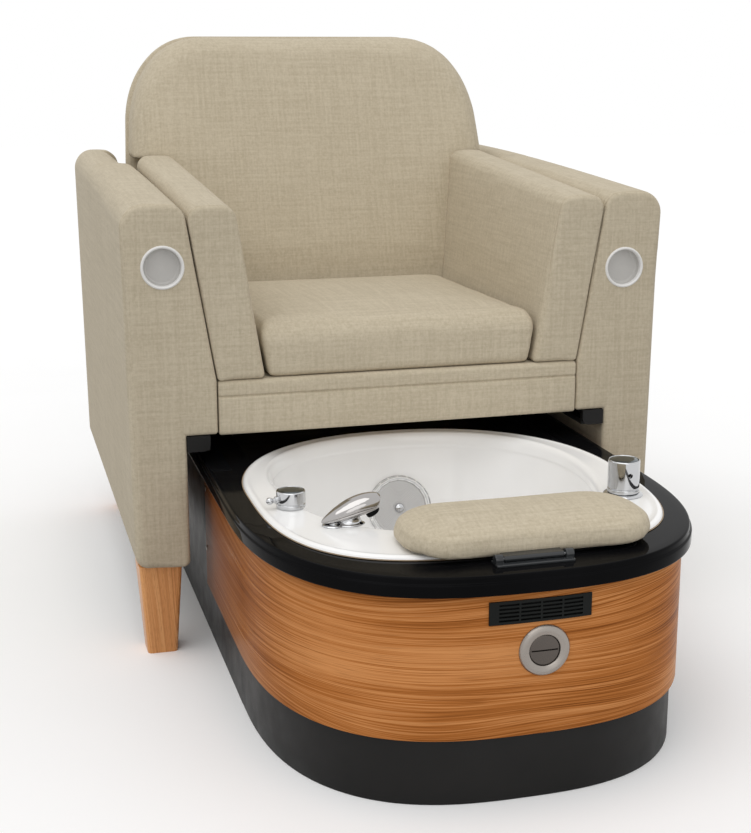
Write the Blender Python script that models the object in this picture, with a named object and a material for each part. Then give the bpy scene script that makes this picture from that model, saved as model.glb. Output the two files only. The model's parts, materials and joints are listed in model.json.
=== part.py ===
"""Pedicure chair: an upholstered armchair whose seat glides and whose back reclines, over a fixed foot bath.

Metres, +Z up. The sitter faces -Y. Lengths along Y below are measured from the front plane of the arms,
and the whole chair hangs from one empty that brings the middle of its footprint to the origin.
"""

import math

import bmesh
import bpy
import numpy as np
from mathutils import Matrix, Vector

# Clearances
CLEAR = 0.0003  # between pieces that sit on each other
RUNNING = 0.0006  # round shafts that turn or slide
SLACK = 0.002  # beside upholstered pieces

# Outer arms, legs and rear panel
ARM_HALF_SPAN = 0.488  # centre plane to the outer face at the top
ARM_TAPER = 0.006  # the outer face leans in this much towards the floor
ARM_HEIGHT = 0.800
ARM_RISE = 0.028  # the tops climb this much towards the rear
ARM_DEPTH = 1.000
ARM_EDGE = 0.024  # padded edge radius
ARM_REAR_EDGE = 0.030
ARM_FOOT_EDGE = 0.012
ARM_BEND = 0.010  # where the inner face starts to lean
WALL_SHARE = 0.38  # the most of a wall that one rounded edge takes
LEG_HEIGHT = 0.168
LEG_TOP = 0.0765
LEG_FOOT = 0.054
LEG_EDGE = 0.008
FRONT_LEG_INSET = 0.020  # front of the arm to the front of the leg
REAR_LEG_INSET = 0.030
LEG_SIDE_INSET = 0.006  # outer face of the arm to a front leg
REAR_LEG_SIDE_INSET = 0.016
REAR_LEG_TUCK = 0.026  # the rear feet lean towards the middle
NOTCH_EDGE = 0.004
POCKET_START = 0.620  # behind this the arms are cut back for the backrest
POCKET_STEP = 0.001  # length of the step into the pocket
POCKET_CLEARANCE = 0.006  # beside the backrest's shoulders
LEDGE_DROP = 0.012  # slope of the ledge below the pocket
REAR_PANEL_THICKNESS = 0.045
REAR_PANEL_TOP = 0.790
REAR_PANEL_EDGE = 0.012
REAR_PANEL_CROWN = 0.006
REAR_PANEL_SWELL = 0.150  # width over which the crown rises

# Round ports in the arm fronts
PORT_RADIUS = 0.0385
PORT_RING_WIDTH = 0.005
PORT_BODY_DEPTH = 0.040
PORT_DISH_DEPTH = 0.014
PORT_WALL = 0.003
PORT_PROUD = 0.003
PORT_SHIFT = 0.007  # towards the seat, from the middle of the arm front
LEFT_PORT_HEIGHT = 0.699
RIGHT_PORT_HEIGHT = 0.668

# Gliding seat
SEAT_WIDTH = 0.489  # cushion, at the deck
DECK_HEIGHT = 0.4985
DECK_THICKNESS = 0.005
RAIL_HEIGHT = 0.0955
RAIL_DEPTH = 0.050
RAIL_EDGE = 0.008
RAIL_SEAM_DROP = 0.0275  # below the deck
RAIL_SEAM_DEPTH = 0.0025
RAIL_GAP = 0.002  # rail ends to the outer arms
CUSHION_EDGE_HEIGHT = 0.078  # side of the cushion, up to the start of its rounded edge
CUSHION_EDGE = 0.024
CUSHION_CROWN = 0.012
CUSHION_PITCH = 0.018  # the cushion is this much lower at its rear
CUSHION_DRAW = 0.003  # how far the sides pull in between the corners
CUSHION_CORNER = 0.030
INNER_ARM_THICKNESS = 0.080
INNER_ARM_HEIGHT = 0.796
INNER_ARM_RISE = 0.039
INNER_ARM_LEAN = 0.0485  # the arms lean out this much from the deck to the front top
INNER_ARM_FLARE = 0.014  # and this much more at the rear
INNER_ARM_EDGE = 0.016
INNER_ARM_REAR_EDGE = 0.004
INNER_ARM_FOOT_EDGE = 0.006
ARM_GAP = 0.006  # inner arm to outer arm
FRAME_BORDER = 0.085
CHEEK_WIDTH = 0.050
CHEEK_DROP = 0.0145  # below the deck
FRAME_DROP = 0.0935  # the slides and the arms' notches start this far below the deck
CHEEK_REACH = 0.028  # behind the recline shaft

# Slides under the seat
SLIDE_HEIGHT = 0.028
SLIDE_DEPTH = 0.0405  # out from the arm
SLIDE_WALL = 0.003
SLIDE_LIP = 0.009  # flange lips that hold the runner
SLIDE_LENGTH = 0.560
SLIDE_CAP = 0.012
GLIDE_TRAVEL = 0.120
RUNNER_LENGTH = 0.400
RUNNER_PLATE = 0.003
RUNNER_REACH = 0.040  # the runner's plate under the seat frame

# Backrest
BACK_FRONT = 0.565  # front face, at the deck
BACK_TILT = math.radians(18.0)
BACK_TOP = 1.080
SHOULDER_WIDTH = 0.800
SHOULDER_HEIGHT = 0.862
FLARE_START = 0.828  # above the arm tops the sides flare out to the shoulders
FLARE_BEND = 0.040
BACK_BEND_WIDTH = 0.768
BACK_BEND_HEIGHT = 0.930
BACK_TOP_WIDTH = 0.670
BACK_CORNER = 0.100
BACK_BEND = 0.300
SHOULDER_CORNER = 0.030
BACK_FOOT_CORNER = 0.020
BACK_THICKNESS = 0.118
BACK_EDGE = 0.040
BACK_REAR_EDGE = 0.010
BACK_CROWN = 0.008
BACK_SWELL = 0.030  # width over which the crown rises
BACK_SHELL_THICKNESS = 0.030
BACK_SHELL_EDGE = 0.012
SHELL_INSET = 0.006
SHAFT_RADIUS = 0.008
SHAFT_DROP = 0.0365  # below the deck
KNUCKLE_RADIUS = 0.020
KNUCKLE_WIDTH = 0.030

# Foot bath cabinet
TUB_HALF_WIDTH = 0.347
TUB_GAP = 0.0405  # cabinet to the lower part of the arms
TUB_FRONT = -0.647
TUB_CURVE_DEPTH = 0.430
TUB_CURVE_POWER = 2.72
TUB_BACK = 0.600
WOOD_END = 0.085
WOOD_THICKNESS = 0.012
TOE_HEIGHT = 0.103
TOE_RECESS = 0.008
TOE_THICKNESS = 0.012
TOE_SEAM = -0.217  # where the straight sides of the toe kick meet its curved front
PANEL_RECESS = 0.002  # black side panels behind the veneer's face
COUNTER_DROP = 0.0250  # below the slides
COUNTER_THICKNESS = 0.0293
COUNTER_OVERHANG = 0.013
COUNTER_EDGE = 0.008
FLOOR_BOARD = 0.018
BRACKET_START = 0.400  # angle brackets between the cabinet and the arms
BRACKET_LENGTH = 0.060
BRACKET_HEIGHT = 0.060
BRACKET_PLATE = 0.003
BRACKET_DROP = 0.0227  # below the counter

# Basin
RIM_HALF_WIDTH = 0.320
RIM_FRONT = -0.585
RIM_BACK = 0.130
RIM_HEIGHT = 0.0045
DECK_RISE = 0.0032  # basin deck above the underside of its flange
RIM_ROLL = 0.010
SEAL_THICKNESS = 0.0012
SEAL_WIDTH = 0.008  # under the rim
SEAL_SHOW = 0.0015  # outside the rim
BASIN_MIDDLE = -0.200
BASIN_WALL = 0.005
CUTOUT_INSET = 0.010  # basin rim to the hole in the counter
BOWL_HALF_WIDTH = 0.258
BOWL_FRONT = -0.455
BOWL_BACK = 0.101
BOWL_EDGE = 0.014  # softened edge between deck and bowl
BOWL_TAPER = 0.13  # share by which the bowl narrows towards the front
BOWL_FLOOR = 0.140
BOWL_LEAN = 0.060  # the walls draw in this much from the top to the floor
BOWL_FOOT = 0.016  # height of the round between wall and floor
BOWL_FALL = 0.003  # fall of the floor towards the drain
BOWL_SUMP = 0.045  # from the foot of the wall to the level floor
DRAIN_RADIUS = 0.026

# Pumped jet on the bowl's rear wall
JET_RISE = 0.082  # above the bowl's floor
JET_OFFSET = 0.014  # right of the centre plane
JET_RADIUS = 0.060
JET_WALL = 0.008
JET_LENGTH = 0.095
JET_PROUD = 0.010
JET_COVER_RADIUS = 0.046
JET_COVER_THICKNESS = 0.004
JET_COVER_RECESS = 0.008
JET_HUB_RADIUS = 0.009
JET_SPOKE = 0.008
IMPELLER_RADIUS = 0.040
IMPELLER_THICKNESS = 0.016
IMPELLER_BLADES = 6
MOTOR_RADIUS = 0.046
MOTOR_LENGTH = 0.080
MOTOR_SHAFT_RADIUS = 0.005

# Drain
FLANGE_RADIUS = 0.036
FLANGE_THICKNESS = 0.003
STOPPER_RADIUS = 0.030
STOPPER_THICKNESS = 0.008
STOPPER_TRAVEL = 0.010
STOPPER_STEM_RADIUS = 0.004
STOPPER_STEM_LENGTH = 0.022
PIPE_WALL = 0.003

# Deck fittings: places are (x, y)
MIXER_PLACE = (-0.268, -0.290)
MIXER_RADIUS = 0.023
MIXER_HEIGHT = 0.028
MIXER_LEVER_RADIUS = 0.0035
MIXER_LEVER_LENGTH = 0.012
MIXER_BALL_RADIUS = 0.0058
MIXER_LEVER_ANGLE = math.radians(190.0)
DIVERTER_PLACE = (0.263, -0.363)
DIVERTER_RADIUS = 0.0255
DIVERTER_HEIGHT = 0.054
DIVERTER_FLANGE_RADIUS = 0.032
DIVERTER_FLANGE_THICKNESS = 0.004
DIMPLE_RADIUS = 0.0028
KNOB_EDGE = 0.0014
SPRAY_PLACE = (-0.226, -0.397)
SPRAY_DOCK_RADIUS = 0.017
SPRAY_STEM_RADIUS = 0.008
SPRAY_STEM_LENGTH = 0.085
SPRAY_REACH = 0.070
SPRAY_WIDTH = 0.036
SPRAY_THICKNESS = 0.022
SPRAY_RISE = 0.030  # the nose is this much higher than the tail
SPRAY_TAIL = 0.018  # behind the stem
SPRAY_NOZZLE_PLACE = 0.046  # in front of the stem
SPRAY_NOZZLE_RADIUS = 0.011
SPRAY_NOZZLE_DROP = 0.004  # below the head
SPRAY_NOZZLE_TILT = math.radians(14.0)
SHANK_RADIUS = 0.011
SHANK_LENGTH = 0.045
COLLAR_HEIGHT = 0.003

# Vent and turn latch in the veneer
TRIM_CENTRE = 0.012  # vent, latch and footrest hinge, right of the centre plane
VENT_WIDTH = 0.154
VENT_HEIGHT = 0.034
VENT_DROP = 0.0297  # its middle below the counter
VENT_PLATE = 0.003
VENT_FLANGE = 0.014  # plain ends of the plate
VENT_BORDER = 0.004
VENT_BAR = 0.0028
VENT_ROWS = 5
VENT_COLUMNS = 4
LATCH_OFFSET = 0.0187  # right of the centre plane
LATCH_DROP = 0.0917  # its middle below the counter
LATCH_RADIUS = 0.0385
LATCH_DISC_RADIUS = 0.0225
LATCH_BEZEL_PROUD = 0.005
LATCH_DISC_RECESS = 0.003
LATCH_SLOT = 0.0022
LATCH_CAM_LENGTH = 0.038
LATCH_CAM_WIDTH = 0.014
LATCH_CAM_THICKNESS = 0.003

# Footrest
PAD_CENTRE = (0.034, -0.516)
PAD_LENGTH = 0.406
PAD_DEPTH = 0.184
PAD_LIFT = 0.0123  # underside above the counter
PAD_SIDE = 0.016
PAD_CROWN = 0.022
PAD_CORNER = 0.078
PAD_DRAW = 0.003
BOARD_INSET = 0.030
BOARD_THICKNESS = 0.004
HINGE_WIDTH = 0.118
HINGE_PLACE = -0.614
HINGE_PLATE_DEPTH = 0.028
HINGE_PLATE = 0.003
HINGE_LUG_WIDTH = 0.012
HINGE_LUG_RADIUS = 0.0075
HINGE_PIN_RADIUS = 0.0022
HINGE_KNUCKLE = 0.0042

# Fineness of round shapes
CORNER_STEPS = 3
EDGE_STEPS = 3
ROUND_STEPS = 20
SMALL_ROUND_STEPS = 14
PLAN_STEPS = 26
BASIN_STEPS = 36

# Places worked out from the sizes above
NOTCH_HEIGHT = DECK_HEIGHT - FRAME_DROP
RAIL_UNDERSIDE = DECK_HEIGHT - RAIL_HEIGHT
CHEEK_TOP = DECK_HEIGHT - CHEEK_DROP
COUNTER_TOP = NOTCH_HEIGHT - SLIDE_HEIGHT - COUNTER_DROP
COUNTER_UNDERSIDE = COUNTER_TOP - COUNTER_THICKNESS
VENT_MIDDLE = COUNTER_UNDERSIDE - VENT_DROP
LATCH_PLACE = (LATCH_OFFSET, COUNTER_UNDERSIDE - LATCH_DROP)
PAD_UNDERSIDE = COUNTER_TOP + PAD_LIFT
JET_HEIGHT = BOWL_FLOOR + JET_RISE
POCKET_HALF_WIDTH = SHOULDER_WIDTH / 2 + POCKET_CLEARANCE
COUNTER_FRONT = TUB_FRONT - COUNTER_OVERHANG
MIDDLE = (ARM_DEPTH + COUNTER_FRONT) / 2
INNER_FACE = SEAT_WIDTH / 2 + SLACK
INNER_ARM_OUTER = INNER_FACE + INNER_ARM_THICKNESS
ARM_INNER = INNER_ARM_OUTER + ARM_GAP
LOWER_ARM_INNER = TUB_HALF_WIDTH + TUB_GAP
LOWER_ARM_WIDTH = ARM_HALF_SPAN - ARM_TAPER - LOWER_ARM_INNER
REAR_ARM_WIDTH = ARM_HALF_SPAN - POCKET_HALF_WIDTH
LEAN_SLOPE = INNER_ARM_LEAN / (INNER_ARM_HEIGHT - DECK_HEIGHT)
TILT_SLOPE = math.tan(BACK_TILT)
SEAT_BASE = DECK_HEIGHT + CLEAR
SHELL_FRONT = BACK_FRONT + BACK_THICKNESS + CLEAR
SHAFT_PLACE = (SHELL_FRONT + BACK_SHELL_THICKNESS / 2, DECK_HEIGHT - SHAFT_DROP)
FRAME_END = BACK_FRONT - SLACK
FRAME_HALF_WIDTH = ARM_INNER - RAIL_GAP - SLACK
FRAME_UNDERSIDE = NOTCH_HEIGHT - 2 * CLEAR
SEAL_TOP = COUNTER_TOP + CLEAR + SEAL_THICKNESS
FLANGE_BASE = SEAL_TOP + CLEAR
DECK_LEVEL = FLANGE_BASE + DECK_RISE
TOE_INNER = TUB_HALF_WIDTH - TOE_RECESS - TOE_THICKNESS
FLOOR_TOP = TOE_HEIGHT - CLEAR
BOWL_DEPTH = DECK_LEVEL - BOWL_FLOOR
SPRAY_BASE = DECK_LEVEL + COLLAR_HEIGHT + 2 * CLEAR
HINGE_HEIGHT = COUNTER_TOP + CLEAR + HINGE_LUG_RADIUS
PAD_BOARD_TOP = PAD_UNDERSIDE - CLEAR


# Scene, finishes and bodies


def clear_scene():
    for thing in list(bpy.data.objects):
        bpy.data.objects.remove(thing, do_unlink=True)


def finish(name, colour, roughness, metallic=0.0):
    """A plain Principled material."""
    made = bpy.data.materials.new(name)
    made.use_nodes = True
    shader = made.node_tree.nodes["Principled BSDF"]
    shader.inputs["Base Color"].default_value = (*colour, 1.0)
    shader.inputs["Roughness"].default_value = roughness
    shader.inputs["Metallic"].default_value = metallic
    return made


def make_finishes():
    return {
        "linen": finish("linen", (0.44, 0.38, 0.26), 0.85),
        "leg_wood": finish("leg_wood", (0.42, 0.16, 0.06), 0.40),
        "veneer": finish("veneer", (0.42, 0.17, 0.035), 0.35),
        "plywood": finish("plywood", (0.50, 0.36, 0.20), 0.70),
        "black_gloss": finish("black_gloss", (0.004, 0.004, 0.004), 0.10),
        "black_satin": finish("black_satin", (0.012, 0.010, 0.009), 0.40),
        "vent_black": finish("vent_black", (0.012, 0.014, 0.015), 0.50),
        "acrylic": finish("acrylic", (0.86, 0.85, 0.83), 0.08),
        "seal": finish("seal", (0.50, 0.42, 0.30), 0.50),
        "chrome": finish("chrome", (0.80, 0.80, 0.80), 0.05, 1.0),
        "nickel": finish("nickel", (0.42, 0.39, 0.36), 0.30, 1.0),
        "steel": finish("steel", (0.35, 0.35, 0.36), 0.35, 1.0),
        "port_white": finish("port_white", (0.75, 0.75, 0.73), 0.30),
        "jet_grey": finish("jet_grey", (0.55, 0.54, 0.53), 0.25),
    }


def make_bodies():
    """One empty for each moving body, on its joint's axis, all under the chair's own empty."""
    jet = jet_centre()
    places = {
        "base": (0.0, 0.0, 0.0),
        "seat": (0.0, 0.0, DECK_HEIGHT),
        "backrest": (0.0, *SHAFT_PLACE),
        "footrest": (TRIM_CENTRE, HINGE_PLACE, HINGE_HEIGHT),
        "mixer": (*MIXER_PLACE, DECK_LEVEL),
        "diverter": (*DIVERTER_PLACE, DECK_LEVEL),
        "spray": (*SPRAY_PLACE, DECK_LEVEL),
        "impeller": tuple(jet),
        "stopper": (0.0, BASIN_MIDDLE, BOWL_FLOOR),
        "latch": (LATCH_PLACE[0], TUB_FRONT, LATCH_PLACE[1]),
    }
    chair = bpy.data.objects.new("pedicure_chair", None)
    chair.location = (0.0, -MIDDLE, 0.0)
    bpy.context.collection.objects.link(chair)
    bodies = {}
    for name, place in places.items():
        empty = bpy.data.objects.new(name + "_body", None)
        empty.location = place
        empty.parent = chair
        bpy.context.collection.objects.link(empty)
        bodies[name] = empty
    return bodies


def add(name, shape, material, body="base"):
    """Turns a bmesh in chair coordinates into a named object on its body's empty."""
    mesh = bpy.data.meshes.new(name)
    bmesh.ops.translate(shape, verts=shape.verts, vec=-BODIES[body].location)
    shape.to_mesh(mesh)
    shape.free()
    mesh.shade_smooth()
    mesh.set_sharp_from_angle(angle=math.radians(35.0))
    mesh.materials.append(FINISHES[material])
    made = bpy.data.objects.new(name, mesh)
    made.parent = BODIES[body]
    bpy.context.collection.objects.link(made)
    return made


def change(target, shape, operation):
    """Cuts a bmesh out of an object, or joins it on, with a live Boolean."""
    body = next(key for key, empty in BODIES.items() if empty == target.parent)
    tool = add(f"{target.name}_{operation.lower()}_{len(target.modifiers)}", shape, "steel", body)
    tool.hide_render = True
    tool.display_type = "WIRE"
    modifier = target.modifiers.new(operation.lower(), "BOOLEAN")
    modifier.operation = operation
    modifier.object = tool
    return target


def even_shading():
    """Keeps broad faces flat where they meet rounded edges."""
    for thing in bpy.data.objects:
        if thing.type == "MESH" and not thing.hide_render:
            thing.modifiers.new("weighted_normal", "WEIGHTED_NORMAL").keep_sharp = True


def cut(target, shape):
    return change(target, shape, "DIFFERENCE")


def weld(target, shape):
    return change(target, shape, "UNION")


# Outlines and shapes


def rounded_polygon(corners, radii, inset=0.0, steps=CORNER_STEPS):
    """A counter-clockwise polygon moved in by inset, with an arc at each corner that shrinks with the inset."""
    corners = np.array(corners, float)
    along = np.roll(corners, -1, axis=0) - corners
    along /= np.linalg.norm(along, axis=1)[:, None]
    inward = np.stack([-along[:, 1], along[:, 0]], axis=1)
    points = []
    for i in range(len(corners)):
        before, after = along[i - 1], along[i]
        turn = math.atan2(before[0] * after[1] - before[1] * after[0], before @ after)
        mitre = (inward[i - 1] + inward[i]) / (1.0 + inward[i - 1] @ inward[i])
        corner = corners[i] + inset * mitre
        radius = max(radii[i] - inset, CLEAR) if turn > 0 else radii[i]
        reach = radius * math.tan(abs(turn) / 2)
        side = math.copysign(1.0, turn)
        centre = corner - before * reach + side * radius * inward[i - 1]
        first = corner - before * reach - centre
        for step in range(steps + 1):
            angle = turn * step / steps
            spun = (
                first[0] * math.cos(angle) - first[1] * math.sin(angle),
                first[0] * math.sin(angle) + first[1] * math.cos(angle),
            )
            points.append(centre + spun)
    return np.array(points)


def lift(points, axis, level):
    """2-D points as 3-D ones: (x, y) at a height, (x, z) at a depth or (y, z) at a width."""
    points = np.asarray(points, float)
    return np.insert(points, "xyz".index(axis), level, axis=1)


def rounded_span(start, end, radius, far_radius=None, steps=EDGE_STEPS):
    """Stations across a slab as (position, inset): a quarter circle at each face."""
    far_radius = radius if far_radius is None else far_radius
    stations = []
    for step in range(steps + 1):
        angle = math.pi / 2 * step / steps
        stations.append((start + radius * (1 - math.cos(angle)), radius * (1 - math.sin(angle))))
    for step in range(steps + 1):
        angle = math.pi / 2 * (1 - step / steps)
        stations.append((end - far_radius * (1 - math.cos(angle)), far_radius * (1 - math.sin(angle))))
    return stations


def loft(rings, loop=False):
    """A closed mesh through rings with equal point counts, capped at its ends or joined end to start."""
    mesh = bmesh.new()
    rows = [[mesh.verts.new(point) for point in ring] for ring in rings]
    pairs = list(zip(rows, rows[1:]))
    if loop:
        pairs.append((rows[-1], rows[0]))
    for low, high in pairs:
        for i in range(len(low)):
            j = (i + 1) % len(low)
            mesh.faces.new((low[i], low[j], high[j], high[i]))
    if not loop:
        mesh.faces.new(rows[0][::-1])
        mesh.faces.new(rows[-1])
    bmesh.ops.recalc_face_normals(mesh, faces=mesh.faces)
    return mesh


def prism(points, axis, start, end):
    return loft([lift(points, axis, start), lift(points, axis, end)])


def block(low, high, edge=0.0):
    """A box between two corners, with its edges rounded off."""
    low, high = Vector(low), Vector(high)
    mesh = bmesh.new()
    bmesh.ops.create_cube(mesh, size=1.0)
    for vert in mesh.verts:
        vert.co = Vector(low[i] + (vert.co[i] + 0.5) * (high[i] - low[i]) for i in range(3))
    if edge:
        bmesh.ops.bevel(mesh, geom=mesh.edges[:], offset=edge, segments=2, affect="EDGES", profile=0.5)
    return mesh


def turned(profile, centre, direction=(0, 0, 1), steps=ROUND_STEPS, hollow=False):
    """A profile of (radius, height) points spun about an axis; a hollow one is a closed loop."""
    mesh = bmesh.new()
    verts = [mesh.verts.new((radius, 0.0, height)) for radius, height in profile]
    edges = [mesh.edges.new(pair) for pair in zip(verts, verts[1:])]
    if hollow:
        edges.append(mesh.edges.new((verts[-1], verts[0])))
    around = {"cent": (0, 0, 0), "axis": (0, 0, 1), "angle": math.tau}
    bmesh.ops.spin(mesh, geom=verts + edges, steps=steps, use_merge=True, **around)
    bmesh.ops.remove_doubles(mesh, verts=mesh.verts, dist=1e-6)
    bmesh.ops.recalc_face_normals(mesh, faces=mesh.faces)
    turn = Vector((0, 0, 1)).rotation_difference(Vector(direction)).to_matrix().to_4x4()
    bmesh.ops.transform(mesh, matrix=Matrix.Translation(centre) @ turn, verts=mesh.verts)
    return mesh


def rod(radius, start, end, steps=SMALL_ROUND_STEPS, chamfer=0.0):
    """A cylinder between two points, with chamfered ends."""
    start, end = Vector(start), Vector(end)
    length = (end - start).length
    profile = [(0, length), (radius - chamfer, length), (radius, length - chamfer)]
    profile += [(radius, chamfer), (radius - chamfer, 0), (0, 0)]
    if not chamfer:
        profile = [(0, length), (radius, length), (radius, 0), (0, 0)]
    return turned(profile, start, end - start, steps)


def tube(outer, inner, start, end, steps=ROUND_STEPS):
    start, end = Vector(start), Vector(end)
    length = (end - start).length
    profile = [(inner, 0), (inner, length), (outer, length), (outer, 0)]
    return turned(profile, start, end - start, steps, hollow=True)


def mirrored(points):
    """The other half of a half outline, so that both make one counter-clockwise polygon."""
    return points + [(-x, y) for x, y in reversed(points)]


# Chair shell


def back_face(height):
    """Front of the backrest at a height."""
    return BACK_FRONT + (height - DECK_HEIGHT) * TILT_SLOPE


def arm_top(depth, front, rise):
    """Height of an arm's top: it climbs from the front and levels off at the rear."""
    share = np.clip(depth / ARM_DEPTH, 0.0, 1.0)
    return front + rise * np.sin(share * math.pi / 2)


def outer_arm_ring(side, depth, inset):
    """Cross-section of an outer arm at a depth: notched below, and leaning with the inner arm above."""
    top = arm_top(depth, ARM_HEIGHT, ARM_RISE)
    lean = INNER_ARM_LEAN + INNER_ARM_FLARE * depth / ARM_DEPTH
    inner_low, inner_top = ARM_INNER, ARM_INNER + lean
    if depth > POCKET_START:
        inner_low = inner_top = POCKET_HALF_WIDTH
    corners = [
        (LOWER_ARM_INNER, LEG_HEIGHT),
        (ARM_HALF_SPAN - ARM_TAPER, LEG_HEIGHT),
        (ARM_HALF_SPAN, top),
        (inner_top, top),
        (inner_low, DECK_HEIGHT),
        (inner_low, NOTCH_HEIGHT),
        (LOWER_ARM_INNER, NOTCH_HEIGHT),
    ]
    edge = min(ARM_EDGE, WALL_SHARE * (ARM_HALF_SPAN - inner_top), WALL_SHARE * LOWER_ARM_WIDTH)
    radii = [ARM_FOOT_EDGE, edge, edge, edge * 0.8, ARM_BEND, NOTCH_EDGE, CLEAR]
    if inner_low > LOWER_ARM_INNER:
        corners[5:] = [(inner_low, NOTCH_HEIGHT), (LOWER_ARM_INNER, NOTCH_HEIGHT - LEDGE_DROP)]
        radii[5] = CLEAR
    points = rounded_polygon(corners, radii, inset)
    points[:, 0] *= side
    return lift(points, "y", depth)


def make_outer_arm(name, side, port_height):
    edge = min(ARM_EDGE, WALL_SHARE * LOWER_ARM_WIDTH)
    rear_edge = min(ARM_REAR_EDGE, WALL_SHARE * REAR_ARM_WIDTH)
    stations = rounded_span(0.0, ARM_DEPTH, edge, rear_edge)
    half = len(stations) // 2
    along = [(depth, 0.0) for depth in (0.25, 0.45, POCKET_START, POCKET_START + POCKET_STEP, 0.80)]
    stations = stations[:half] + along + stations[half:]
    arm = add(name, loft([outer_arm_ring(side, *station) for station in stations]), "linen")
    place = side * port_offset(port_height)
    start, end = (place, -PORT_RADIUS, port_height), (place, PORT_BODY_DEPTH + CLEAR, port_height)
    return cut(arm, rod(PORT_RADIUS - PORT_RING_WIDTH + CLEAR, start, end, ROUND_STEPS))


def port_offset(height):
    """Centre of a port from the centre plane, between the arm's leaning inner face and its outer face."""
    inner = ARM_INNER + LEAN_SLOPE * (height - DECK_HEIGHT)
    return (inner + ARM_HALF_SPAN) / 2 - PORT_SHIFT


def make_port(name, side, height):
    """A round cup let into the arm front: a rounded ring outside, a shallow dish and a plain body behind."""
    body = PORT_RADIUS - PORT_RING_WIDTH
    dish = body - PORT_WALL
    profile = [
        (0, -PORT_DISH_DEPTH),
        (dish * 0.8, -PORT_DISH_DEPTH),
        (dish, -PORT_DISH_DEPTH * 0.7),
        (dish + 0.001, PORT_PROUD * 0.6),
        (body, PORT_PROUD),
        (PORT_RADIUS - 0.001, PORT_PROUD * 0.7),
        (PORT_RADIUS, CLEAR),
        (body, CLEAR),
        (body, -PORT_BODY_DEPTH),
        (0, -PORT_BODY_DEPTH),
    ]
    add(name, turned(profile, (side * port_offset(height), 0.0, height), (0, -1, 0)), "port_white")


def make_leg(name, side, side_inset, depth, tuck):
    """A square leg under an arm that tapers to its foot, with softened edges."""
    middle = ARM_HALF_SPAN - ARM_TAPER - side_inset - LEG_TOP / 2
    rings = []
    for height, width, shift in ((0.0, LEG_FOOT, tuck), (LEG_HEIGHT - CLEAR, LEG_TOP, 0.0)):
        half = width / 2
        square = [(-half, -half), (half, -half), (half, half), (-half, half)]
        points = rounded_polygon(square, [LEG_EDGE] * 4)
        points += (middle - shift, depth)
        points[:, 0] *= side
        rings.append(lift(points, "z", height))
    add(name, loft(rings), "leg_wood")


def make_rear_panel():
    """Upholstered panel that closes the back between the outer arms, crowned towards the rear."""
    wide, narrow = POCKET_HALF_WIDTH - CLEAR, LOWER_ARM_INNER - CLEAR
    right = [
        (narrow, LEG_HEIGHT),
        (narrow, NOTCH_HEIGHT - LEDGE_DROP + CLEAR),
        (wide, NOTCH_HEIGHT + CLEAR),
        (wide, REAR_PANEL_TOP),
    ]
    radii = [REAR_PANEL_EDGE, CLEAR, CLEAR, REAR_PANEL_EDGE]
    end = ARM_DEPTH - ARM_REAR_EDGE
    stations = rounded_span(end - REAR_PANEL_THICKNESS, end, SLACK, REAR_PANEL_EDGE, 2)
    for share in (0.35, 0.7, 1.0):
        inset = REAR_PANEL_EDGE + REAR_PANEL_SWELL * share
        stations.append((end + REAR_PANEL_CROWN * math.sin(share * math.pi / 2), inset))
    outlines = [(rounded_polygon(mirrored(right), radii + radii[::-1], inset, 2), y) for y, inset in stations]
    rings = [lift(outline, "y", depth) for outline, depth in outlines]
    add("rear_panel", loft(rings), "linen")


def make_shell():
    for name, side, height in (("left", -1, LEFT_PORT_HEIGHT), ("right", 1, RIGHT_PORT_HEIGHT)):
        make_outer_arm(f"{name}_outer_arm", side, height)
        make_port(f"{name}_port", side, height)
        make_leg(f"front_{name}_leg", side, LEG_SIDE_INSET, FRONT_LEG_INSET + LEG_TOP / 2, 0.0)
        rear = ARM_DEPTH - REAR_LEG_INSET - LEG_TOP / 2
        make_leg(f"rear_{name}_leg", side, REAR_LEG_SIDE_INSET, rear, REAR_LEG_TUCK)
        make_slide(name, side)
    make_rear_panel()


# Slides and seat


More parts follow.
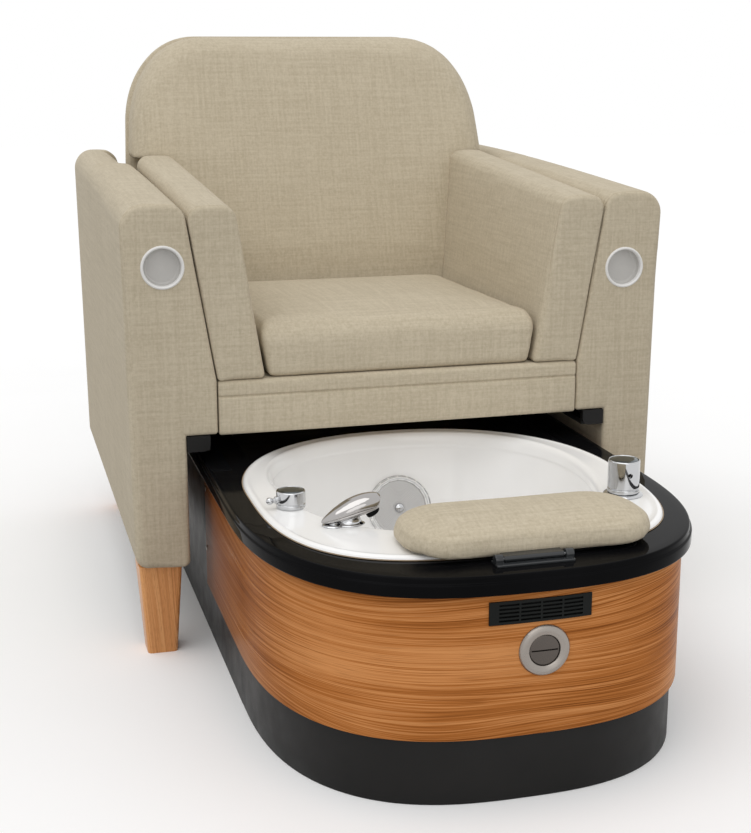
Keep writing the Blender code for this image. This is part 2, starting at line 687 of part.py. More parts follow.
def make_slide(name, side):
    """A lipped channel on the arm, its front cap, and the runner that the seat frame stands on."""
    outer = LOWER_ARM_INNER - CLEAR
    inner = outer - SLIDE_DEPTH
    top = NOTCH_HEIGHT - CLEAR
    low = top - SLIDE_HEIGHT
    wall, lip = SLIDE_WALL, SLIDE_LIP
    channel = [
        (outer, low),
        (outer, top),
        (inner, top),
        (inner, top - lip),
        (inner + wall, top - lip),
        (inner + wall, top - wall),
        (outer - wall, top - wall),
        (outer - wall, low + wall),
        (inner + wall, low + wall),
        (inner + wall, low + lip),
        (inner, low + lip),
        (inner, low),
    ]
    channel = [(side * x, z) for x, z in channel]
    rail = add(f"{name}_slide_rail", prism(channel, "y", SLIDE_CAP / 2, SLIDE_LENGTH), "black_satin")
    corners = [(inner, low), (outer, low), (outer, top), (inner, top)]
    cap = rounded_polygon(corners, [SLIDE_HEIGHT * 0.4, 0.002, 0.002, 0.002])
    cap[:, 0] *= side
    weld(rail, prism(cap, "y", 0.0, SLIDE_CAP))
    neck_high, neck_low = top - lip - CLEAR * 2, low + lip + CLEAR * 2
    head_high, head_low = top - wall - CLEAR, low + wall + CLEAR
    plate_top = FRAME_UNDERSIDE - CLEAR
    plate_low = plate_top - RUNNER_PLATE
    web = inner - SLACK
    rib = web - RUNNER_PLATE - SLACK
    head, shoulder = outer - wall - 2 * CLEAR, inner + wall + 2 * CLEAR
    runner = [
        (head, head_low),
        (head, head_high),
        (shoulder, head_high),
        (shoulder, neck_high),
        (web, neck_high),
        (web, plate_top),
        (FRAME_HALF_WIDTH - RUNNER_REACH, plate_top),
        (FRAME_HALF_WIDTH - RUNNER_REACH, plate_low),
        (rib, plate_low),
        (rib, neck_low),
        (shoulder, neck_low),
        (shoulder, head_low),
    ]
    runner = [(side * x, z) for x, z in runner]
    start = SLIDE_CAP + GLIDE_TRAVEL + SLACK
    add(f"{name}_runner", prism(runner, "y", start, start + RUNNER_LENGTH), "steel", "seat")


def make_seat_frame():
    """Timber frame under the deck, open in the middle, with cheeks behind that carry the recline shaft."""
    half = FRAME_HALF_WIDTH
    front = RAIL_DEPTH + CLEAR
    top = DECK_HEIGHT - DECK_THICKNESS - CLEAR
    rear = SHAFT_PLACE[0] + CHEEK_REACH
    frame = add("seat_frame", block((-half, front, FRAME_UNDERSIDE), (half, rear, top)), "plywood", "seat")
    border = FRAME_BORDER
    low, high = FRAME_UNDERSIDE - border, top + border
    cut(frame, block((border - half, front + border, low), (half - border, FRAME_END - border, high)))
    cheek = half - CHEEK_WIDTH
    cut(frame, block((-cheek, FRAME_END, low), (cheek, rear + border, high)))
    cut(frame, block((-half - border, FRAME_END, CHEEK_TOP), (half + border, rear + border, high)))
    bore = rod(SHAFT_RADIUS + CLEAR, (-half - border, *SHAFT_PLACE), (half + border, *SHAFT_PLACE))
    cut(frame, bore)
    deck = block((-half, front, top + CLEAR), (half, FRAME_END, DECK_HEIGHT))
    add("seat_deck", deck, "plywood", "seat")
    shaft = rod(SHAFT_RADIUS, (CLEAR - half, *SHAFT_PLACE), (half - CLEAR, *SHAFT_PLACE), chamfer=0.001)
    add("recline_shaft", shaft, "steel", "seat")


def make_front_rail():
    """Padded apron below the cushion, with a sewn seam along its upper third."""
    half = ARM_INNER - RAIL_GAP
    low, high = RAIL_UNDERSIDE, DECK_HEIGHT
    seam, groove = DECK_HEIGHT - RAIL_SEAM_DROP, RAIL_SEAM_DEPTH
    profile = [
        (RAIL_DEPTH, low),
        (RAIL_DEPTH, high),
        (RAIL_EDGE, high),
        (0.0, high - RAIL_EDGE),
        (0.0, seam + groove),
        (groove, seam),
        (0.0, seam - groove),
        (0.0, low + RAIL_EDGE),
        (RAIL_EDGE, low),
    ]
    soft, crisp = RAIL_EDGE * 0.6, groove * 0.4
    radii = [crisp, crisp, soft, soft, crisp, crisp / 2, crisp, soft, soft]
    rings = []
    for place, inset in rounded_span(-half, half, RAIL_EDGE / 2, steps=2):
        rings.append(lift(rounded_polygon(profile, radii, inset, 2), "x", place))
    add("front_rail", loft(rings), "linen", "seat")


def make_inner_arm(name, side):
    """Slab that leans against the outer arm, its rear end cut to the backrest's tilt."""
    rings = []
    length = back_face(SEAT_BASE) - SLACK
    for place, inset in rounded_span(0.0, length, INNER_ARM_EDGE, INNER_ARM_REAR_EDGE):
        share = place / length
        top = INNER_ARM_HEIGHT + INNER_ARM_RISE * share
        reach = INNER_ARM_LEAN + INNER_ARM_FLARE * share * length / ARM_DEPTH
        corners = [
            (INNER_FACE, SEAT_BASE),
            (INNER_ARM_OUTER, SEAT_BASE),
            (INNER_ARM_OUTER + reach, top),
            (INNER_FACE + reach, top),
        ]
        radii = [INNER_ARM_FOOT_EDGE, INNER_ARM_FOOT_EDGE, INNER_ARM_EDGE, INNER_ARM_EDGE]
        points = rounded_polygon(corners, radii, inset)
        depth = share * (length + (points[:, 1] - SEAT_BASE) * TILT_SLOPE)
        rings.append(np.stack([side * points[:, 0], depth, points[:, 1]], axis=1))
    add(name, loft(rings), "linen", "seat")


def make_seat_cushion():
    """Boxed cushion: soft edges, a crowned top that falls to the rear, and sides that draw in a little."""
    half = SEAT_WIDTH / 2
    length = back_face(SEAT_BASE) - SLACK
    corners = [(-half, 0.0), (half, 0.0), (half, length), (-half, length)]
    radii = [CUSHION_CORNER * 0.5, CUSHION_CORNER * 0.5, CUSHION_CORNER, CUSHION_CORNER]
    foot = CUSHION_EDGE / 4
    stations = [(0.0, foot), (foot, 0.0), (CUSHION_EDGE_HEIGHT / 2, 0.0), (CUSHION_EDGE_HEIGHT, 0.0)]
    for step in range(1, EDGE_STEPS + 1):
        angle = math.pi / 2 * step / EDGE_STEPS
        rise, inset = CUSHION_EDGE * math.sin(angle), CUSHION_EDGE * (1 - math.cos(angle))
        stations.append((CUSHION_EDGE_HEIGHT + rise, inset))
    top = CUSHION_EDGE_HEIGHT + CUSHION_EDGE
    stations += [(top, CUSHION_EDGE + (half - CUSHION_EDGE) * share) for share in (0.2, 0.45, 0.7, 0.92)]
    rings = []
    for height, inset in stations:
        points = rounded_polygon(corners, radii, inset, 4)
        across, along = points[:, 0] / half, points[:, 1] / length
        swell = (1 - across**2) * (1 - (2 * along - 1) ** 2)
        drawn = 1 - CUSHION_DRAW / half * (1 - (2 * along - 1) ** 2)
        widen = 1 + height * LEAN_SLOPE / half
        level = SEAT_BASE + height + (CUSHION_CROWN * swell - CUSHION_PITCH * along) * height / top
        depth = points[:, 1] + along * (level - SEAT_BASE) * TILT_SLOPE
        rings.append(np.stack([points[:, 0] * drawn * widen, depth, level], axis=1))
    add("seat_cushion", loft(rings), "linen", "seat")


def make_seat():
    make_seat_frame()
    make_front_rail()
    make_seat_cushion()
    for name, side in (("left", -1), ("right", 1)):
        make_inner_arm(f"{name}_inner_arm", side)


# Backrest


def back_outline(inset):
    """Front view of the backrest: it leans out with the arms, flares above them and has large top corners."""
    foot = SEAT_BASE + SLACK
    right = [
        (INNER_ARM_OUTER - SLACK, foot),
        (INNER_ARM_OUTER - SLACK + LEAN_SLOPE * (FLARE_START - foot), FLARE_START),
        (SHOULDER_WIDTH / 2, SHOULDER_HEIGHT),
        (BACK_BEND_WIDTH / 2, BACK_BEND_HEIGHT),
        (BACK_TOP_WIDTH / 2, BACK_TOP),
    ]
    radii = [BACK_FOOT_CORNER, FLARE_BEND, SHOULDER_CORNER, BACK_BEND, BACK_CORNER]
    return rounded_polygon(mirrored(right), radii + radii[::-1], inset)


def back_rings(stations):
    """Rings of the backrest's outline, sheared to its tilt; a station is (distance behind the face, inset)."""
    rings = []
    for behind, inset in stations:
        points = back_outline(inset)
        depth = back_face(points[:, 1]) + behind
        rings.append(np.stack([points[:, 0], depth, points[:, 1]], axis=1))
    return rings


def make_backrest():
    """Cushion with a crowned face, the shell behind it and the hinge below."""
    face = [(BACK_CROWN * share, BACK_EDGE + BACK_SWELL * (1 - share) ** 2) for share in (0.0, 0.35, 0.75)]
    stations = rounded_span(BACK_CROWN, BACK_THICKNESS, BACK_EDGE, BACK_REAR_EDGE)
    add("backrest_cushion", loft(back_rings(face + stations)), "linen", "backrest")
    front = BACK_THICKNESS + CLEAR
    stations = rounded_span(front, front + BACK_SHELL_THICKNESS, SLACK, BACK_SHELL_EDGE, 2)
    stations = [(behind, inset + SHELL_INSET) for behind, inset in stations]
    add("backrest_shell", loft(back_rings(stations)), "linen", "backrest")
    make_recline_hinge()


def make_recline_hinge():
    """Bar under the backrest shell with a knuckle at each end, turning on the shaft between the seat's cheeks."""
    depth, height = SHAFT_PLACE
    reach = FRAME_HALF_WIDTH - CHEEK_WIDTH - SLACK
    half = BACK_SHELL_THICKNESS / 2 - 0.004
    top = SEAT_BASE + SLACK + SHELL_INSET - CLEAR
    lean = back_face(top) + BACK_THICKNESS + CLEAR + BACK_SHELL_THICKNESS / 2 - depth
    start = math.acos(half / KNUCKLE_RADIUS)
    arc = [math.pi - start + k * (math.pi + 2 * start) / 12 for k in range(13)]
    points = [(depth + KNUCKLE_RADIUS * math.cos(a), height + KNUCKLE_RADIUS * math.sin(a)) for a in arc]
    points += [(depth + lean + half, top), (depth + lean - half, top)]
    hinge = add("recline_hinge", prism(points, "x", -reach, reach), "steel", "backrest")
    middle = reach - KNUCKLE_WIDTH
    low = height - 2 * KNUCKLE_RADIUS
    cut(hinge, block((-middle, depth - 0.1, low), (middle, depth + 0.1, height + KNUCKLE_RADIUS)))
    cut(hinge, rod(SHAFT_RADIUS + RUNNING, (-reach - 0.01, *SHAFT_PLACE), (reach + 0.01, *SHAFT_PLACE)))


# Cabinet


def tub_path(inset, back):
    """Plan of the cabinet, right rear to left rear: straight sides and a superellipse round the front."""
    half, depth = TUB_HALF_WIDTH - inset, TUB_CURVE_DEPTH - inset
    angle = np.linspace(0.0, math.pi, PLAN_STEPS + 1)
    power = 2 / TUB_CURVE_POWER
    x = half * np.sign(np.cos(angle)) * np.abs(np.cos(angle)) ** power
    y = TUB_FRONT + TUB_CURVE_DEPTH - depth * np.abs(np.sin(angle)) ** power
    curve = np.stack([x, y], axis=1)
    return np.vstack([[(half, back)], curve, [(-half, back)]])


def tub_face(x, inset=0.0):
    """Depth of the cabinet's curved front at a width."""
    share = abs(x) / (TUB_HALF_WIDTH - inset)
    depth = TUB_CURVE_DEPTH - inset
    return TUB_FRONT + TUB_CURVE_DEPTH - depth * (1 - share**TUB_CURVE_POWER) ** (1 / TUB_CURVE_POWER)


def band(inset, thickness, back):
    """A wall that follows the cabinet's plan."""
    return np.vstack([tub_path(inset, back), tub_path(inset + thickness, back)[::-1]])


def make_cabinet():
    veneer_top = COUNTER_UNDERSIDE - CLEAR
    toe_top = TOE_HEIGHT - CLEAR
    wood = add("wood_panel", prism(band(0.0, WOOD_THICKNESS, WOOD_END), "z", TOE_HEIGHT, veneer_top), "veneer")
    half, window = VENT_WIDTH / 2 - VENT_BORDER, VENT_HEIGHT / 2 - VENT_BORDER
    low, high = VENT_MIDDLE - window, VENT_MIDDLE + window
    middle = TRIM_CENTRE
    cut(wood, block((middle - half, TUB_FRONT - 0.1, low), (middle + half, TUB_FRONT + 0.1, high)))
    hole = LATCH_DISC_RADIUS + WOOD_THICKNESS / 2 + CLEAR
    x, z = LATCH_PLACE
    cut(wood, rod(hole, (x, TUB_FRONT - 0.05, z), (x, TUB_FRONT + 0.05, z), ROUND_STEPS))
    add("toe_kick_front", prism(band(TOE_RECESS, TOE_THICKNESS, TOE_SEAM), "z", 0.0, toe_top), "black_satin")
    outer, inner = TUB_HALF_WIDTH - TOE_RECESS, TOE_INNER
    face = TUB_HALF_WIDTH - PANEL_RECESS
    for name, side in (("left", -1), ("right", 1)):
        low, high = sorted((side * inner, side * outer))
        shape = block((low, TOE_SEAM + CLEAR, 0.0), (high, TUB_BACK, toe_top))
        add(f"toe_kick_{name}", shape, "black_satin")
        low, high = sorted((side * (face - WOOD_THICKNESS), side * face))
        shape = block((low, WOOD_END + CLEAR, TOE_HEIGHT), (high, TUB_BACK, veneer_top))
        add(f"cabinet_{name}_side", shape, "black_satin")
        make_bracket(f"{name}_join_bracket", side, face)
    board = TOE_INNER - CLEAR
    plan = tub_path(TUB_HALF_WIDTH - board, TUB_BACK - TOE_THICKNESS - 2 * CLEAR)
    add("cabinet_floor", prism(plan, "z", FLOOR_TOP - FLOOR_BOARD, FLOOR_TOP), "plywood")
    back = block((-board, TUB_BACK - TOE_THICKNESS, 0.0), (board, TUB_BACK, veneer_top))
    add("cabinet_back", back, "black_satin")
    make_counter()


def make_bracket(name, side, face):
    """Steel angle that screws the cabinet to the arm, out of sight beside the seat."""
    arm, cabinet = LOWER_ARM_INNER - CLEAR, face + CLEAR
    level, plate = COUNTER_UNDERSIDE - BRACKET_DROP, BRACKET_PLATE
    angle = [
        (cabinet, level - BRACKET_HEIGHT),
        (cabinet + plate, level - BRACKET_HEIGHT),
        (cabinet + plate, level - plate),
        (arm - plate, level - plate),
        (arm - plate, level - BRACKET_HEIGHT),
        (arm, level - BRACKET_HEIGHT),
        (arm, level),
        (cabinet, level),
    ]
    points = [(side * x, z) for x, z in angle]
    add(name, prism(points, "y", BRACKET_START, BRACKET_START + BRACKET_LENGTH), "steel")


def make_counter():
    """Gloss black top: two-step rounded edge, and a hole that the basin drops into."""
    edge = COUNTER_EDGE
    steps = [
        (COUNTER_UNDERSIDE, edge * 0.4),
        (COUNTER_UNDERSIDE + edge * 0.4, 0.0),
        (COUNTER_TOP - edge * 1.3, 0.0),
        (COUNTER_TOP - edge * 1.2, edge * 0.3),
        (COUNTER_TOP - edge * 0.4, edge * 0.5),
        (COUNTER_TOP, edge * 1.2),
    ]
    rings = [lift(tub_path(inset - COUNTER_OVERHANG, TUB_BACK), "z", height) for height, inset in steps]
    counter = add("counter", loft(rings), "black_gloss")
    hole = lift(rim_outline(CUTOUT_INSET), "z", 0.0)
    cut(counter, loft([hole, hole + (0.0, 0.0, 1.0)]))


# Basin and plumbing


def egg(half, front, back, taper=0.0, front_power=3.2, back_power=2.2):
    """Closed outline round the basin's middle: squarer in front, rounder behind, narrowing forwards by taper."""
    angle = np.linspace(0.0, math.tau, BASIN_STEPS, endpoint=False)
    c, s = np.cos(angle), np.sin(angle)
    power = 2 / np.where(s > 0, back_power, front_power)
    reach = np.where(s > 0, back - BASIN_MIDDLE, BASIN_MIDDLE - front)
    along = np.sign(s) * np.abs(s) ** power
    x = half * np.sign(c) * np.abs(c) ** power * (1 + taper * along)
    return np.stack([x, BASIN_MIDDLE + reach * along], axis=1)


def rim_outline(inset):
    return egg(RIM_HALF_WIDTH - inset, RIM_FRONT + inset, RIM_BACK - inset)


def bowl_outline(inset):
    half, front, back = BOWL_HALF_WIDTH - inset, BOWL_FRONT + inset, BOWL_BACK - inset
    return egg(half, front, back, BOWL_TAPER, 2.8, 2.2)


def circle(radius):
    angle = np.linspace(0.0, math.tau, BASIN_STEPS, endpoint=False)
    return np.stack([radius * np.cos(angle), BASIN_MIDDLE + radius * np.sin(angle)], axis=1)


def wall_inset(share):
    """How far the bowl's wall has drawn in, from its top (0) to its floor (1)."""
    return BOWL_LEAN * share**1.5


def make_basin():
    """One moulded shell: bowl, flat deck, rolled rim and the undersides of all three."""
    wall, edge, foot = BASIN_WALL, BOWL_EDGE, BOWL_FOOT * 0.75
    top = [(circle(DRAIN_RADIUS), BOWL_FLOOR)]
    top.append((bowl_outline(BOWL_LEAN + BOWL_SUMP), BOWL_FLOOR + BOWL_FALL))
    top.append((bowl_outline(BOWL_LEAN + foot), BOWL_FLOOR + BOWL_FOOT))
    for share in (0.75, 0.5, 0.25):
        top.append((bowl_outline(wall_inset(share)), DECK_LEVEL - BOWL_DEPTH * share))
    for inset, drop in ((0.1, 0.8), (-0.2, 0.2), (-0.7, 0.0)):
        top.append((bowl_outline(edge * inset), DECK_LEVEL - edge * drop))
    top.append((rim_outline(RIM_ROLL * 1.6), DECK_LEVEL))
    top.append((rim_outline(RIM_ROLL * 0.6), FLANGE_BASE + RIM_HEIGHT * 1.2))
    top.append((rim_outline(RIM_ROLL * 0.1), FLANGE_BASE + RIM_HEIGHT * 0.6))
    under = DECK_LEVEL - wall * 1.4
    below = [(rim_outline(0.0), FLANGE_BASE)]
    below.append((rim_outline(CUTOUT_INSET + SLACK), FLANGE_BASE))
    below.append((rim_outline(CUTOUT_INSET + SLACK * 1.5), under))
    below.append((bowl_outline(-edge * 0.7 - wall), under))
    below.append((bowl_outline(-wall), under - edge))
    for share in (0.25, 0.5, 0.75):
        below.append((bowl_outline(wall_inset(share) - wall), DECK_LEVEL - BOWL_DEPTH * share))
    below.append((bowl_outline(BOWL_LEAN + foot - wall), BOWL_FLOOR + BOWL_FOOT - wall * 0.6))
    below.append((bowl_outline(BOWL_LEAN + BOWL_SUMP - wall * 0.4), BOWL_FLOOR + BOWL_FALL - wall))
    below.append((circle(DRAIN_RADIUS), BOWL_FLOOR - wall))
    basin = add("basin", loft([lift(ring, "z", height) for ring, height in top + below], loop=True), "acrylic")
    for place in (MIXER_PLACE, DIVERTER_PLACE, SPRAY_PLACE):
        cut(basin, rod(SHANK_RADIUS + CLEAR, (*place, COUNTER_UNDERSIDE), (*place, 2 * DECK_LEVEL)))
    along = jet_axis()
    centre = jet_centre()
    cut(basin, rod(JET_RADIUS + CLEAR, centre - along * JET_LENGTH / 2, centre + along * JET_LENGTH / 2, ROUND_STEPS))
    inner, outer = rim_outline(SEAL_WIDTH), rim_outline(-SEAL_SHOW)
    low, high = COUNTER_TOP + CLEAR, SEAL_TOP
    rings = [lift(inner, "z", low), lift(outer, "z", low), lift(outer, "z", high), lift(inner, "z", high)]
    add("rim_seal", loft(rings, loop=True), "seal")


def jet_share():
    return (DECK_LEVEL - JET_HEIGHT) / BOWL_DEPTH


def jet_axis():
    """From the bowl into its rear wall, square to the wall's lean at the jet."""
    slope = BOWL_LEAN * 1.5 * math.sqrt(jet_share()) / BOWL_DEPTH
    return Vector((0.0, 1.0, -slope)).normalized()


def jet_centre():
    return Vector((JET_OFFSET, BOWL_BACK - wall_inset(jet_share()), JET_HEIGHT))


def make_jet():
    """Pump housing through the rear wall: cover and hub in front of a spider, impeller and motor behind."""
    along, centre = jet_axis(), jet_centre()
    inner = JET_RADIUS - JET_WALL
    front, end = -JET_PROUD, JET_LENGTH
    profile = [
        (inner, front + JET_WALL * 0.5),
        (inner, end),
        (JET_RADIUS, end),
        (JET_RADIUS, front + JET_WALL * 0.5),
        (JET_RADIUS - JET_WALL * 0.4, front),
    ]
    housing = add("jet_housing", turned(profile, centre, along, ROUND_STEPS, hollow=True), "acrylic")
    cover_front = front + JET_COVER_RECESS
    cover_back = cover_front + JET_COVER_THICKNESS
    spoke_front, spoke_back = cover_back + CLEAR, cover_back + CLEAR + JET_SPOKE
    boss = JET_HUB_RADIUS + 0.004
    up = Vector((1, 0, 0)).cross(along)
    for k in range(3):
        angle = math.pi / 2 + k * math.tau / 3
        out = Vector((math.cos(angle), 0, 0)) + up * math.sin(angle)
        start = centre + along * (spoke_front + JET_SPOKE / 2)
        ends = [start + out * reach for reach in (boss * 0.7, inner + JET_WALL / 2)]
        weld(housing, rod(JET_SPOKE * 0.4, *ends, 8))
    weld(housing, rod(boss, centre + along * spoke_front, centre + along * spoke_back))
    bore = JET_HUB_RADIUS / 2
    cut(housing, rod(bore + CLEAR, centre + along * (front - 0.02), centre + along * (spoke_back + 0.005)))
    shape = tube(JET_COVER_RADIUS, bore + CLEAR, centre + along * cover_front, centre + along * cover_back)
    add("jet_cover", shape, "jet_grey")
    hub = [(0, front + 0.002), (JET_HUB_RADIUS * 0.8, front + 0.0025), (JET_HUB_RADIUS, front + 0.005)]
    hub += [(JET_HUB_RADIUS, cover_front - CLEAR), (bore, cover_front - CLEAR), (bore, spoke_back), (0, spoke_back)]
    add("jet_hub", turned(hub, centre, along, SMALL_ROUND_STEPS), "chrome")
    wheel = spoke_back + 0.012
    make_impeller(centre, along, up, wheel)
    make_motor(centre, along, wheel + IMPELLER_THICKNESS)


def make_impeller(centre, along, up, wheel):
    """Back plate with straight blades, on the motor's shaft."""
    plate = IMPELLER_THICKNESS * 0.25
    start, stop = centre + along * (wheel + IMPELLER_THICKNESS - plate), centre + along * (wheel + IMPELLER_THICKNESS)
    shape = rod(IMPELLER_RADIUS, start, stop)
    impeller = add("jet_impeller", shape, "jet_grey", "impeller")
    thick = IMPELLER_THICKNESS - plate / 2
    for k in range(IMPELLER_BLADES):
        angle = k * math.tau / IMPELLER_BLADES
        out = Vector((math.cos(angle), 0, 0)) + up * math.sin(angle)
        across = along.cross(out)
        corners = []
        for radius in (IMPELLER_RADIUS * 0.35, IMPELLER_RADIUS * 0.92):
            for side in (-1, 1):
                corners.append(centre + along * wheel + out * radius + across * side * plate * 0.4)
        ring = [corners[0], corners[1], corners[3], corners[2]]
        weld(impeller, loft([ring, [point + along * thick for point in ring]]))
    bore = MOTOR_SHAFT_RADIUS + CLEAR
    cut(impeller, rod(bore, centre + along * (wheel - 0.01), centre + along * (wheel + IMPELLER_THICKNESS + 0.01)))


def make_motor(centre, along, wheel_end):
    """Motor closed against the back of the housing; its shaft carries the impeller."""
    shaft_start, face = wheel_end - IMPELLER_THICKNESS, JET_LENGTH + CLEAR
    rim = MOTOR_LENGTH + face
    profile = [
        (0, shaft_start),
        (MOTOR_SHAFT_RADIUS, shaft_start),
        (MOTOR_SHAFT_RADIUS, face),
        (JET_RADIUS, face),
        (JET_RADIUS, face + JET_WALL),
        (MOTOR_RADIUS, face + JET_WALL),
        (MOTOR_RADIUS, rim - JET_WALL),
        (MOTOR_RADIUS - JET_WALL, rim),
        (0, rim),
    ]
    add("jet_motor", turned(profile, centre, along), "steel")


def make_drain():
    """Flange screwed through the floor into its tailpipe, with a lift-up stopper guided in the flange's spider."""
    place = Vector((0.0, BASIN_MIDDLE, 0.0))
    seat = BOWL_FLOOR + CLEAR
    top = seat + FLANGE_THICKNESS
    throat = DRAIN_RADIUS - CLEAR
    bore = throat - PIPE_WALL
    low = BOWL_FLOOR - BASIN_WALL - 0.012
    profile = [(bore, low), (bore, top - 0.001), (bore + 0.001, top), (FLANGE_RADIUS - 0.002, top)]
    profile += [(FLANGE_RADIUS, seat), (throat, seat), (throat, low)]
    flange = add("drain_flange", turned(profile, place, steps=SMALL_ROUND_STEPS, hollow=True), "chrome")
    guide = STOPPER_STEM_RADIUS + PIPE_WALL
    for k in range(3):
        angle = k * math.tau / 3
        out = Vector((math.cos(angle), math.sin(angle), 0))
        start = place + Vector((0, 0, low + PIPE_WALL))
        ends = [start + out * reach for reach in (guide - PIPE_WALL / 2, bore + PIPE_WALL / 2)]
        weld(flange, rod(PIPE_WALL * 0.7, *ends, 8))
    weld(flange, rod(guide, place + Vector((0, 0, low)), place + Vector((0, 0, low + 2 * PIPE_WALL))))
    cut(flange, rod(STOPPER_STEM_RADIUS + RUNNING, place + Vector((0, 0, low - 0.01)), place + Vector((0, 0, top))))
    rest = top + CLEAR
    crest = rest + STOPPER_THICKNESS
    tip = rest - STOPPER_STEM_LENGTH - STOPPER_TRAVEL * 0.2
    profile = [(0, crest), (STOPPER_RADIUS * 0.5, crest - 0.001), (STOPPER_RADIUS, rest + 0.003)]
    profile += [(STOPPER_RADIUS - 0.001, rest), (STOPPER_STEM_RADIUS, rest), (STOPPER_STEM_RADIUS, tip), (0, tip)]
    add("drain_stopper", turned(profile, place), "chrome", "stopper")


# Deck fittings


def make_collar(name, place, radius, height, material="chrome"):
    """Round base plate on the deck with a threaded shank below it."""
    low = DECK_LEVEL + CLEAR
    profile = [
        (0, low + height),
        (radius - height * 0.4, low + height),
        (radius, low + height * 0.5),
        (radius, low),
        (SHANK_RADIUS, low),
        (SHANK_RADIUS, low - SHANK_LENGTH),
        (0, low - SHANK_LENGTH),
    ]
    return add(name, turned(profile, (*place, 0.0)), material)


def make_mixer():
    """Low round mixer knob with a short side lever that ends in a ball."""
    low = DECK_LEVEL + CLEAR
    high = low + MIXER_HEIGHT
    radius, edge = MIXER_RADIUS, KNOB_EDGE
    profile = [
        (0, high - edge),
        (radius - 3 * edge, high - edge),
        (radius - 2 * edge, high),
        (radius - edge, high),
        (radius, high - edge),
        (radius, low + edge),
        (radius - edge, low),
        (SHANK_RADIUS, low),
        (SHANK_RADIUS, low - SHANK_LENGTH),
        (0, low - SHANK_LENGTH),
    ]
    add("mixer_knob", turned(profile, (*MIXER_PLACE, 0.0)), "chrome", "mixer")
    out = Vector((math.cos(MIXER_LEVER_ANGLE), math.sin(MIXER_LEVER_ANGLE), 0))
    start = Vector((*MIXER_PLACE, low + MIXER_HEIGHT * 0.5)) + out * (radius + CLEAR)
    thin, ball, length = MIXER_LEVER_RADIUS, MIXER_BALL_RADIUS, MIXER_LEVER_LENGTH
    profile = [(0, 0), (thin * 1.7, 0), (thin * 1.7, length * 0.25), (thin, length * 0.3)]
    meet = math.acos(thin / ball)
    for k in range(6):
        angle = -meet + k * (math.pi / 2 + meet) / 5
        profile.append((ball * math.cos(angle), length + ball * math.sin(angle)))
    profile[-1] = (0, length + ball)
    add("mixer_lever", turned(profile[::-1], start, out, SMALL_ROUND_STEPS), "chrome", "mixer")


def make_diverter():
    """Tall round diverter knob on a flange, with a groove near its foot and a set-screw dimple."""
    make_collar("diverter_flange", DIVERTER_PLACE, DIVERTER_FLANGE_RADIUS, DIVERTER_FLANGE_THICKNESS)
    low = DECK_LEVEL + DIVERTER_FLANGE_THICKNESS + 2 * CLEAR
    high = low + DIVERTER_HEIGHT
    radius, edge = DIVERTER_RADIUS, KNOB_EDGE
    groove = low + DIVERTER_HEIGHT * 0.14
    profile = [
        (0, high - edge),
        (radius - 3 * edge, high - edge),
        (radius - 2 * edge, high),
        (radius - edge, high),
        (radius, high - edge),
        (radius, groove + edge),
        (radius - edge, groove + edge * 0.5),
        (radius - edge, groove - edge * 0.5),
        (radius, groove - edge),
        (radius, low + edge),
        (radius - edge, low),
        (0, low),
    ]
    knob = add("diverter_knob", turned(profile, (*DIVERTER_PLACE, 0.0)), "chrome", "diverter")
    screw = Vector((*DIVERTER_PLACE, low + DIVERTER_HEIGHT * 0.6))
    depth = DIMPLE_RADIUS - radius
    cut(knob, rod(DIMPLE_RADIUS, screw + Vector((0, -2 * radius, 0)), screw + Vector((0, depth, 0)), SMALL_ROUND_STEPS))


def spray_height(share):
    """Centre of the spray head at a share of its length: it climbs from the dock and levels off."""
    return SPRAY_BASE + SPRAY_THICKNESS / 2 + SPRAY_RISE * math.sin(share * math.pi / 2)


def spray_ring(share, full):
    """One oval section of the spray head, across its length; full is its share of the largest section."""
    angle = np.linspace(0.0, math.tau, SMALL_ROUND_STEPS, endpoint=False)
    x = np.full_like(angle, SPRAY_PLACE[0] - SPRAY_TAIL + (SPRAY_TAIL + SPRAY_REACH) * share)
    y = SPRAY_PLACE[1] + SPRAY_WIDTH / 2 * full * np.cos(angle)
    z = spray_height(share) + SPRAY_THICKNESS / 2 * full * np.sin(angle)
    return np.stack([x, y, z], axis=1)


